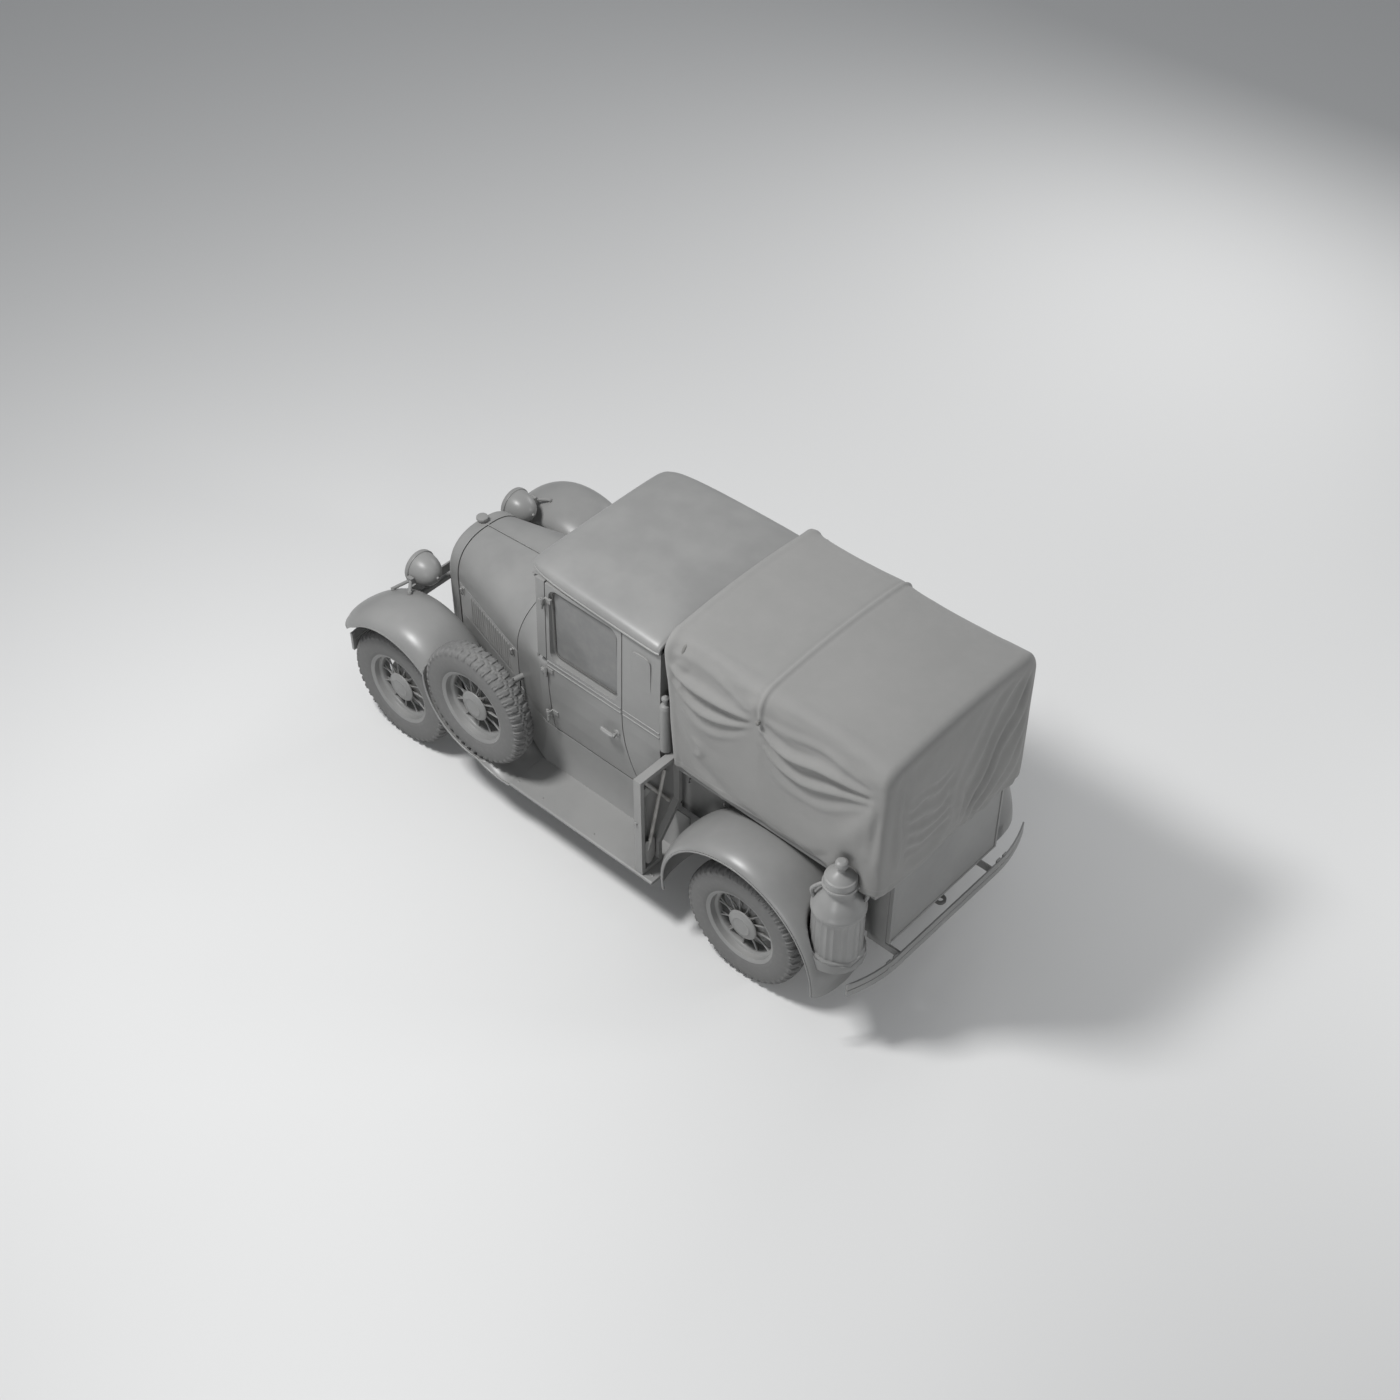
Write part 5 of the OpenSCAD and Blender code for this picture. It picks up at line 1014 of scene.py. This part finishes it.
# Place of each face's corners on the flat cloth, from the hem and along it in metres
cloth_step, cloth_middle = 0.0201, Vector((-1.2, 0, 1.4))
flat_place = [[Vector((cloth_step * (k % ring_size), cloth_step * (k // ring_size))) for k in face]
    for face in tilt_faces]
quad = ((0, 0), (1, 0), (1, 1), (0, 1))
flat_place += [[Vector((cloth_step * (j + y), 3 + cloth_step * (i + x))) for x, y in quad]
    for i in range(top_steps) for j in range(side_steps)]

# Places along each side where the cloth is held up, from the front: x, height, spacing of the folds there
held_up = ((-0.50, 1.78, 0.036), (-1.072, 1.705, 0.011), (-1.835, 1.72, 0.030))
tie_top, tie_foot = Vector((-0.56, 1.80)), Vector((-0.09, 1.02))
# Places of the lacing along the rail, and the plane that the rear curtain lies behind
laced, curtain_x = (-0.56, -0.83, -1.085, -1.34, -1.50, -1.86), -1.86


def lump(p, size):
    return noise.noise(Vector((p.x, 1.7 * p.y, p.z)) / size)


def folded(p):
    """A point of the taut cloth moved into its folds."""
    out = 0.007 * lump(p, 0.2) + 0.0025 * lump(p, 0.08)
    if p.x < curtain_x:
        q = Vector((p.y, p.z))
        axis = tie_foot - tie_top
        s = (q - tie_top).dot(axis) / axis.length_squared
        across = (q - tie_top).dot(Vector((axis.y, -axis.x)).normalized())
        belly = max(0.0, 4 * s * (1 - s)) ** 0.7
        wide = 0.036 + 0.085 * belly
        phase = across / wide + 0.5 * lump(p, 0.3)
        near = math.exp(-(across / (2.3 * wide)) ** 2) * ease(-0.05, 0.12, s) * (1 - ease(0.93, 1.04, s))
        out += min(0.034, 0.36 * wide) * near * ((0.5 + 0.5 * math.cos(2 * math.pi * phase)) ** 1.5 - 0.3)
        edge = (p.y - 0.487 - 0.012 * math.sin(5 * p.z)) / 0.02
        out += 0.016 * math.exp(-edge * edge) * ease(1.06, 1.25, p.z) * (1 - ease(1.6, 1.76, p.z))
        bend = (p.z - 1.22 - 0.9 * (p.y - 0.2) ** 2) / 0.085 + 0.8 * lump(p, 0.25)
        out += 0.010 * math.cos(2 * math.pi * bend) * ease(0.0, 0.14, p.y) * (1 - ease(0.38, 0.47, p.y)) \
            * ease(1.12, 1.2, p.z) * (1 - ease(1.5, 1.62, p.z))
        inside = ease(0, 0.05, 0.545 - abs(p.y)) * ease(0, 0.06, 1.84 - p.z)
        slack_out = 0.012 * ease(1.0, 1.3, p.z) * (1 - ease(1.3, 1.8, p.z))
        return p - Vector(((out + slack_out) * inside, 0, 0))
    side = math.copysign(1, p.y)
    on_side = ease(0.50, 0.585, abs(p.y))
    sunk = 0.0
    for (xa, za, ga), (xb, zb, gb) in zip(held_up, held_up[1:]):
        s = (xa - p.x) / (xa - xb)
        if not 0 < s < 1:
            continue
        skew = s ** 0.66
        belly = (4 * skew * (1 - skew)) ** 0.8
        pitch = blend(blend(ga, gb, s), 0.125, belly)
        k = (blend(za, zb, s) - p.z + 0.01 * belly) / pitch + 0.4 * lump(p, 0.34) + 0.22 * side
        near = ease(-0.9, 0.3, k) * (1 - ease(2.3, 3.6, k)) * ease(0, 0.05, s) * (1 - ease(0.86, 1, s))
        fold = (0.5 + 0.5 * math.cos(2 * math.pi * k)) ** 2 - 0.3
        deep = 0.4 + 0.6 * math.exp(-((k - 1.3) / 0.8) ** 2)
        out += min(0.050, 0.46 * pitch) * near * fold * deep
        sunk = 0.020 * belly
        out -= sunk * ease(-3.0, 0.5, k) * (1 - ease(1.5, 7, k))
    corner_fold = (p.x + 1.787 + 0.01 * math.sin(9 * p.z)) / 0.017
    out += 0.012 * math.exp(-corner_fold ** 2) * ease(1.15, 1.35, p.z) * (1 - ease(1.62, 1.72, p.z))
    ring = Vector((p.x + 0.66, 1.2 * (p.z - 1.245))).length
    out += 0.013 * math.exp(-((ring - 0.058) / 0.02) ** 2) * ease(-0.03, 0.04, -0.66 - p.x) * (side > 0)
    lid = (p.x - churn_at.x) / 0.085
    out -= 0.044 * math.exp(-lid * lid) * (1 - ease(1.10, 1.27, p.z)) * (side > 0)
    for x in laced:
        reach = Vector((p.x - x, p.z - hem_z))
        pucker = math.cos(5 * math.atan2(reach.y, reach.x) + 1) * ease(0, 0.03, reach.length)
        out += 0.006 * pucker * math.exp(-reach.length / 0.06)
    over = ease(0.36, 0.56, abs(p.y)) * ease(1.70, 1.80, p.z)
    return p + Vector((0, side * (out * on_side - 0.4 * sunk * over), -0.35 * sunk * over))


cloth_points = [folded(p) for p in cloth_points]

# The rail and the bows, roughly, for the cloth to lie against
blocks = []
for side in (1, -1):
    blocks.append(tube([(-0.46, side * 0.553, 0.978), (-1.845, side * 0.553, 0.978)], 0.024, 12))
    for x in bow_places:
        blocks.append(tube([(x, side * 0.560, z) for z in (0.99, 1.2, 1.5, 1.75)], 0.014, 12))
blocks.append(tube([(-1.842, 0.55, 0.99), (-1.842, -0.55, 0.99)], 0.02, 12))


def hung(points, faces, frames):
    """The cloth after hanging for a number of frames: held by the bows, the front edge and the lacing."""
    mesh = bpy.data.meshes.new("hanging")
    mesh.from_pydata([tuple(p) for p in points], [], faces)
    cloth = bpy.data.objects.new("hanging", mesh)
    scene.collection.objects.link(cloth)
    held, slack = cloth.vertex_groups.new(name="held"), cloth.vertex_groups.new(name="slack")
    tied = (0.50, 0.20, -0.09, -0.53)
    for k, p in enumerate(points):
        on_bow = any(abs(p.x - x) < 0.0115 and p.z > low for x, low in zip(bow_places, (1.84, 1.70, 1.60)))
        on_edge = k < ring_size or p.z > 1.835 or p.x < -1.83 and p.z > 1.72
        at_hem = p.z < hem_z + 0.012
        on_lace = at_hem and p.x > -1.84 and any(abs(p.x - x) < 0.0115 for x in laced)
        on_tie = at_hem and p.x < curtain_x and any(abs(p.y - y) < 0.0115 for y in tied)
        if on_bow or on_edge or on_lace or on_tie:
            held.add([k], 1.0, "REPLACE")
        slack.add([k], ease(1.88, 1.74, p.z) if p.x > curtain_x else ease(1.86, 1.70, p.z), "REPLACE")
    stand = bpy.data.meshes.new("stand")
    stand_points, stand_faces = [], []
    for part_points, part_faces in blocks:
        stand_faces += [tuple(i + len(stand_points) for i in face) for face in part_faces]
        stand_points += [tuple(p) for p in part_points]
    stand.from_pydata(stand_points, [], stand_faces)
    block = bpy.data.objects.new("stand", stand)
    scene.collection.objects.link(block)
    block.modifiers.new("block", "COLLISION")
    block.collision.thickness_outer = 0.006
    modifier = cloth.modifiers.new("cloth", "CLOTH")
    settings = modifier.settings
    settings.quality, settings.mass, settings.air_damping = 7, 0.25, 3.0
    settings.tension_stiffness = settings.compression_stiffness = 40
    settings.shear_stiffness, settings.bending_stiffness = 14, 2.2
    settings.tension_damping = settings.compression_damping = settings.shear_damping = 8
    settings.bending_damping = 1.5
    settings.vertex_group_mass, settings.pin_stiffness = "held", 1.0
    settings.vertex_group_shrink, settings.shrink_min, settings.shrink_max = "slack", 0.0, -tilt_slack
    modifier.collision_settings.distance_min = 0.006
    modifier.point_cache.frame_start, modifier.point_cache.frame_end = 1, frames
    for step in range(1, frames + 1):
        scene.frame_set(step)
    shaped = cloth.evaluated_get(bpy.context.evaluated_depsgraph_get()).to_mesh()
    result = [v.co.copy() for v in shaped.vertices]
    scene.frame_set(1)
    for gone in (cloth, block):
        bpy.data.objects.remove(gone)
    return result


hang_frames = 25
cloth_points = hung(cloth_points, cloth_faces, hang_frames)

bow_tube = painted_steel("bow_tube", (0.17, 0.168, 0.16), 0.5, 0.6, 0.6)
dress(bow_tube, "tilt_bows")

canvas, shader, place = new_finish("tilt_canvas", Specular_IOR_Level=0.15, Sheen_Weight=0.12)
cloth_place = place.node("ShaderNodeUVMap", {"uv_map": "cloth"})
threads = [cloth_place.node("ShaderNodeTexWave", {"bands_direction": way},
    {"Vector": cloth_place, "Scale": 160.0, "Distortion": 0.6, "Detail": 1.0}, "Fac") for way in ("X", "Y")]
weave = threads[0] * threads[1]
damp, fade, slub = place.grain(0.5, 4, 0.6), place.grain(0.09, 5, 0.65), cloth_place.grain(0.006, 2)
# Painted shade: the hollows of the folds, found by occlusion, are darkened.
fold_shade = 1 - place.node("ShaderNodeAmbientOcclusion", {"samples": 6}, {"Distance": 0.10}, "AO")
across_cloth = cloth_place.node("ShaderNodeSeparateXYZ", {}, {"Vector": cloth_place}, "X")
along_cloth = cloth_place.node("ShaderNodeSeparateXYZ", {}, {"Vector": cloth_place}, "Y")
hem_far = cloth_step * (ring_size - 1)
from_hem = across_cloth.node("ShaderNodeMath", {"operation": "MINIMUM"},
    {0: across_cloth, 1: hem_far - across_cloth})
from_row = from_hem - 0.043
off_row = from_row.node("ShaderNodeMath", {"operation": "ABSOLUTE"}, {0: from_row})
stitch_row = 1 - off_row.step(0.0012, 0.0026)
stitches = along_cloth * 145
stitch = stitch_row * stitches.node("ShaderNodeMath", {"operation": "FRACT"}, {0: stitches}).step(0.2, 0.45)
hem_band = 1 - from_hem.step(0.0405, 0.0425)
tone = damp.step(0.3, 0.75).mix((0.238, 0.237, 0.231), (0.254, 0.252, 0.246))
tone = (fade.step(0.4, 0.75) * 0.25).mix(tone, (0.275, 0.272, 0.264))
# Painted shade in the hollows of the folds.
tone = (fold_shade.step(0.15, 0.8) * 0.55).mix(tone, (0.12, 0.118, 0.114))
tone = (weave.step(0.1, 0.6) * 0.12).mix(tone, (0.17, 0.168, 0.162))
tone = (stitch * 0.6).mix(tone, (0.33, 0.325, 0.31))
height = weave * 0.5 + slub * 0.35 + hem_band * 1.6 + stitch * 0.8 + fade * 0.4
feed(shader, Base_Color=tone, Roughness=0.8 + 0.14 * fade,
    Normal=place.node("ShaderNodeBump", {}, {"Strength": 0.35, "Distance": 0.0014, "Height": height}))


def smoothed(points, faces, place):
    """The cloth divided once more, with each point's place on the flat cloth."""
    mesh = bpy.data.meshes.new("finer")
    mesh.from_pydata([tuple(p) for p in points], [], faces)
    uv = mesh.uv_layers.new(name="cloth")
    for face, corners in zip(mesh.polygons, place):
        for loop, corner in zip(face.loop_indices, corners):
            uv.data[loop].uv = corner
    turned = bmesh.new()
    turned.from_mesh(mesh)
    bmesh.ops.recalc_face_normals(turned, faces=turned.faces)
    if sum(face.normal.dot(face.calc_center_median() - cloth_middle) for face in turned.faces) < 0:
        bmesh.ops.reverse_faces(turned, faces=turned.faces)
    turned.to_mesh(mesh)
    turned.free()
    finer = bpy.data.objects.new("finer", mesh)
    scene.collection.objects.link(finer)
    divide = finer.modifiers.new("divide", "SUBSURF")
    divide.levels, divide.boundary_smooth, divide.uv_smooth = 1, "PRESERVE_CORNERS", "NONE"
    kept = bpy.data.meshes.new_from_object(finer.evaluated_get(bpy.context.evaluated_depsgraph_get()))
    bpy.data.objects.remove(finer)
    return kept


def ridge_at(far, high, half):
    """Height of a tube's ridge in the cloth, with a groove at each side of it."""
    t = far / half
    return high * (math.exp(-t * t) - 0.32 * math.exp(-((abs(t) - 1.75) / 0.55) ** 2))


def raised(p):
    """Ridges of the tubes in the cloth's front edge and over the middle bow."""
    if p.x < -1.80:
        return 0.0
    front = tilt_front - tilt_rake * (tilt_top - p.z) / (tilt_top - hem_z)
    over_bow = ridge_at(p.x - bow_places[1], 0.009, 0.011) * ease(1.68, 1.72, p.z)
    return 0.005 * math.exp(-((p.x - front + 0.02) / 0.018) ** 2) + over_bow


cloth_mesh = smoothed(cloth_points, cloth_faces, flat_place)
cloth_mesh.name = "tilt"
lifts = [vertex.normal * raised(vertex.co) for vertex in cloth_mesh.vertices]
for vertex, lift in zip(cloth_mesh.vertices, lifts):
    vertex.co += lift
tilt = bpy.data.objects.new("tilt", cloth_mesh)
scene.collection.objects.link(tilt)
thick = tilt.modifiers.new("thick", "SOLIDIFY")
thick.thickness, thick.offset = 0.003, -1.0
cloth_mesh.shade_smooth()
cloth_mesh.materials.clear()
cloth_mesh.materials.append(canvas)
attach(tilt, "chassis")
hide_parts("tilt_canvas")
knob = lathe([(0, 0.020), (0.008, 0.0185), (0.012, 0.014), (0.012, 0.008), (0.007, 0.004), (0.007, -0.012),
    (0, -0.012)], 24)
knobs = []
for side in (1, -1):
    handed = Matrix.Diagonal((1, side, 1, 1))
    knobs.append(moved(knob, Matrix.Translation((bow_places[1], side * tilt_half, 1.70)) @ handed))
tilt_fittings = new_piece("tilt_fittings", knobs, "chassis", bow_tube)

# Bumpers
# Two spring-steel bars at each end, bent back at their ends, on arms from the frame and held by
# round-headed bolts.
dress(body_paint, "front_bumper", "rear_bumper")

# Headlamps
# Spun steel bowls with rolled rims and fluted lenses, on brackets from the fenders joined by a cross bar.
lamp_places = ((1.633, 0.378, 0.951), (1.633, -0.378, 0.951))
bowl = [(0.098 * math.sqrt(max(0.0, 1 - (1 - t) ** 2)), -0.138 * (1 - t))
    for t in (k / 24 for k in range(25))]
rim_profile = [(0.098, 0), (0.104, 0.002), (0.1055, 0.006), (0.104, 0.011), (0.104, 0.022), (0.102, 0.0275),
    (0.097, 0.031), (0.0925, 0.0305), (0.0918, 0.026), (0.0918, 0.018), (0.09, 0.016), (0, -0.02)]
tip = lathe([(0, -0.146), (0.006, -0.145), (0.009, -0.141), (0.009, -0.134), (0, -0.134)], 24)
lamp_parts, lens_parts = [], []
for at in lamp_places:
    stand = Matrix.Translation(at) @ along_x
    lamp_parts.append(moved(lathe(bowl + rim_profile, 72), stand))
    screw_at = Matrix.Translation((at[0] + 0.016, at[1], at[2] - 0.1045))
    lamp_parts += [moved(tip, stand), moved(bolt_head, screw_at @ Matrix.Rotation(math.radians(-90), 4, "X"))]
    lens = lathe([(0, 0.038), (0.02, 0.0375), (0.04, 0.0362), (0.0624, 0.034), (0.078, 0.0308),
        (0.088, 0.0278), (0.0913, 0.0262), (0.0913, 0.0206), (0, 0.0206)], 96)
    for p in lens[0]:
        if p.y > 0.027:
            p.y += 0.0011 * math.cos(2 * math.pi * p.x / 0.0115)
    lens_parts.append(moved(lens, stand))
new_piece("headlamps", lamp_parts, "chassis", body_paint, ["headlamps"])
lens_glass, shader, place = new_finish("lens_glass", Specular_IOR_Level=0.6)
haze = place.grain(0.03, 3)
feed(shader, Base_Color=haze.mix((0.30, 0.305, 0.30), (0.40, 0.40, 0.39)), Roughness=0.08 + 0.12 * haze,
    Alpha=0.72 + 0.15 * haze)
new_piece("headlamp_lenses", lens_parts, "chassis", lens_glass, ["headlamp_lenses"])
dress(body_paint, "lamp_bar")

# Milk churn
# Tinned steel can with pressed flutes, a rolled base band, a mushroom lid and two strap handles. It stands
# on the frame behind the rear fender.
churn_profile = [(0, 0.0), (0.139, 0.0), (0.1415, 0.003), (0.142, 0.008), (0.142, 0.030), (0.1405, 0.034),
    (0.136, 0.038)]
churn_profile += [(0.136, blend(0.042, 0.326, k / 24)) for k in range(25)]
churn_profile += [(0.1362, 0.330), (0.1395, 0.333), (0.142, 0.337), (0.142, 0.351), (0.140, 0.356),
    (0.134, 0.365), (0.1285, 0.381), (0.1165, 0.409), (0.104, 0.430), (0.0905, 0.449), (0.083, 0.463),
    (0.080, 0.476), (0.079, 0.496), (0.0905, 0.497), (0.093, 0.500), (0.093, 0.511), (0.0905, 0.514),
    (0.085, 0.515), (0.0845, 0.551), (0.0825, 0.556), (0.074, 0.559), (0.070, 0.564), (0.050, 0.583),
    (0.031, 0.593), (0.023, 0.599), (0.021, 0.618), (0.029, 0.625), (0.0345, 0.635), (0.0345, 0.648),
    (0.030, 0.659), (0.020, 0.666), (0, 0.668)]
churn_part = lathe([(r, -z) for r, z in churn_profile], 192)
for p in churn_part[0]:
    z = -p.y
    flute = ease(0.044, 0.062, z) * (1 - ease(0.304, 0.322, z))
    if flute:
        swell = 1 - 0.028 * flute * (0.5 - 0.5 * math.cos(24 * math.atan2(p.z, p.x))) ** 0.6
        p.x, p.z = p.x * swell, p.z * swell
churn_stand = Matrix.Translation(churn_at) @ Matrix.Rotation(math.radians(-90), 4, "X")
churn_parts = [moved(churn_part, churn_stand)]
strap_knots = ((0.120, 0.376), (0.131, 0.400), (0.1385, 0.430), (0.132, 0.452), (0.106, 0.476),
    (0.082, 0.490))
for turn in (35, 215):
    a = math.radians(turn)
    strap = [Vector((r * math.cos(a), r * math.sin(a), z)) + churn_at for r, z in strap_knots]
    churn_parts.append(tube(through(strap, 30), 0.011, 14))
churn_steel = painted_steel("churn_steel", (0.25, 0.25, 0.246), 0.3, 0.6, 0.5, 0.002)
new_piece("churn", churn_parts, "chassis", churn_steel, ["churn"], 24)

# Tools and extinguisher
# An axe and a shovel with ash handles and forged heads, in a shallow steel tray on the running board, and a
# small extinguisher strapped to the cab's rear corner.
tray_paint = painted_steel("tray_paint", (0.27, 0.269, 0.264), 0.4, 0.5, 0.05)
dress(tray_paint, "tool_board")
dress(body_paint, "extinguisher")
ash, shader, place = new_finish("ash_handle", Specular_IOR_Level=0.3)
grain_place = place * (1.0, 5.0, 0.25)
rings = grain_place.grain(0.012, 4, 0.6)
grime = place.grain(0.05, 3).step(0.4, 0.7)
tone = rings.step(0.3, 0.7).mix((0.36, 0.353, 0.336), (0.44, 0.43, 0.41))
feed(shader, Base_Color=(grime * 0.5).mix(tone, (0.17, 0.166, 0.158)), Roughness=0.5 + 0.25 * rings,
    Normal=place.node("ShaderNodeBump", {}, {"Strength": 0.3, "Distance": 0.001, "Height": rings}))
forged = painted_steel("forged_steel", (0.34, 0.338, 0.33), 0.36, 0.8, 0.1)
tray_in, tray_out = 0.520, 0.845
tray_wide = tray_out - tray_in
axe_x, shovel_x = -0.4895, -0.508
axe_foot = Vector((axe_x, tray_in + 0.222 * tray_wide, 0.720))
axe_run = Vector((axe_x, tray_in + 0.787 * tray_wide, 1.000)) - axe_foot
shovel_y = tray_in + 0.752 * tray_wide
shovel_foot = Vector((shovel_x, shovel_y, 0.545))
shovel_run = Vector((shovel_x, tray_in + 0.381 * tray_wide, 1.005)) - shovel_foot
# Share of the handle's length, radius
axe_handle = ((0, 0.008), (0.02, 0.0118), (0.06, 0.012), (0.15, 0.0104), (0.5, 0.0098), (0.8, 0.0112),
    (0.98, 0.012), (1, 0.009))
shovel_handle = ((0, 0.011), (0.3, 0.0105), (0.7, 0.010), (0.88, 0.0098), (0.96, 0.0115), (1, 0.008))
handles = [tube([foot + run * t for t, r in handle], [r for t, r in handle], 16)
    for foot, run, handle in ((axe_foot, axe_run, axe_handle), (shovel_foot, shovel_run, shovel_handle))]
head_at = Matrix.Translation((axe_x, tray_in + 0.667 * tray_wide, 0.905))
head_turn = head_at @ Matrix.Rotation(math.radians(-32), 4, "X")
head_rows, head_corners = [], ((-1, -1), (1, -1), (1, 1), (-1, 1))
for t in (0, 0.08, 0.3, 0.55, 0.8, 0.95, 1):
    half_t = blend(0.008, 0.0012, ease(0.3, 1, t))
    spread_z = blend(0.030, 0.040, ease(0.35, 1, t))
    reach = 0.041 * t
    head_rows.append([head_turn @ Vector((s * half_t, reach, 0.04 + h * spread_z)) for s, h in head_corners])
eye = tube([axe_foot + axe_run * t for t in (0.74, 0.78, 0.9, 0.94)], [0.0105, 0.0125, 0.0125, 0.0105], 18)
blade_rows, blade_back = [], []
for i in range(15):
    t = i / 14
    z = blend(0.565, 0.386, t)
    half = 0.041 * (1 - 0.55 * ease(0.72, 1, t) ** 2) * (0.62 + 0.38 * ease(0, 0.12, t))
    blade_rows.append([(shovel_x - 0.003 + 0.0045 * s ** 2, shovel_y + half * s, z)
        for s in (k / 5 for k in range(-5, 6))])
    blade_back.append([(x + 0.0022, y, z) for x, y, z in blade_rows[-1]])
socket = tube([shovel_foot + shovel_run * t for t in (-0.12, -0.02, 0.06, 0.12)],
    [0.0045, 0.0098, 0.0102, 0.0095], 16)
new_piece("tool_handles", handles, "chassis", ash, ["tools"])
new_piece("tool_heads", [loft(head_rows), eye, shell(blade_rows, blade_back), socket], "chassis", forged)
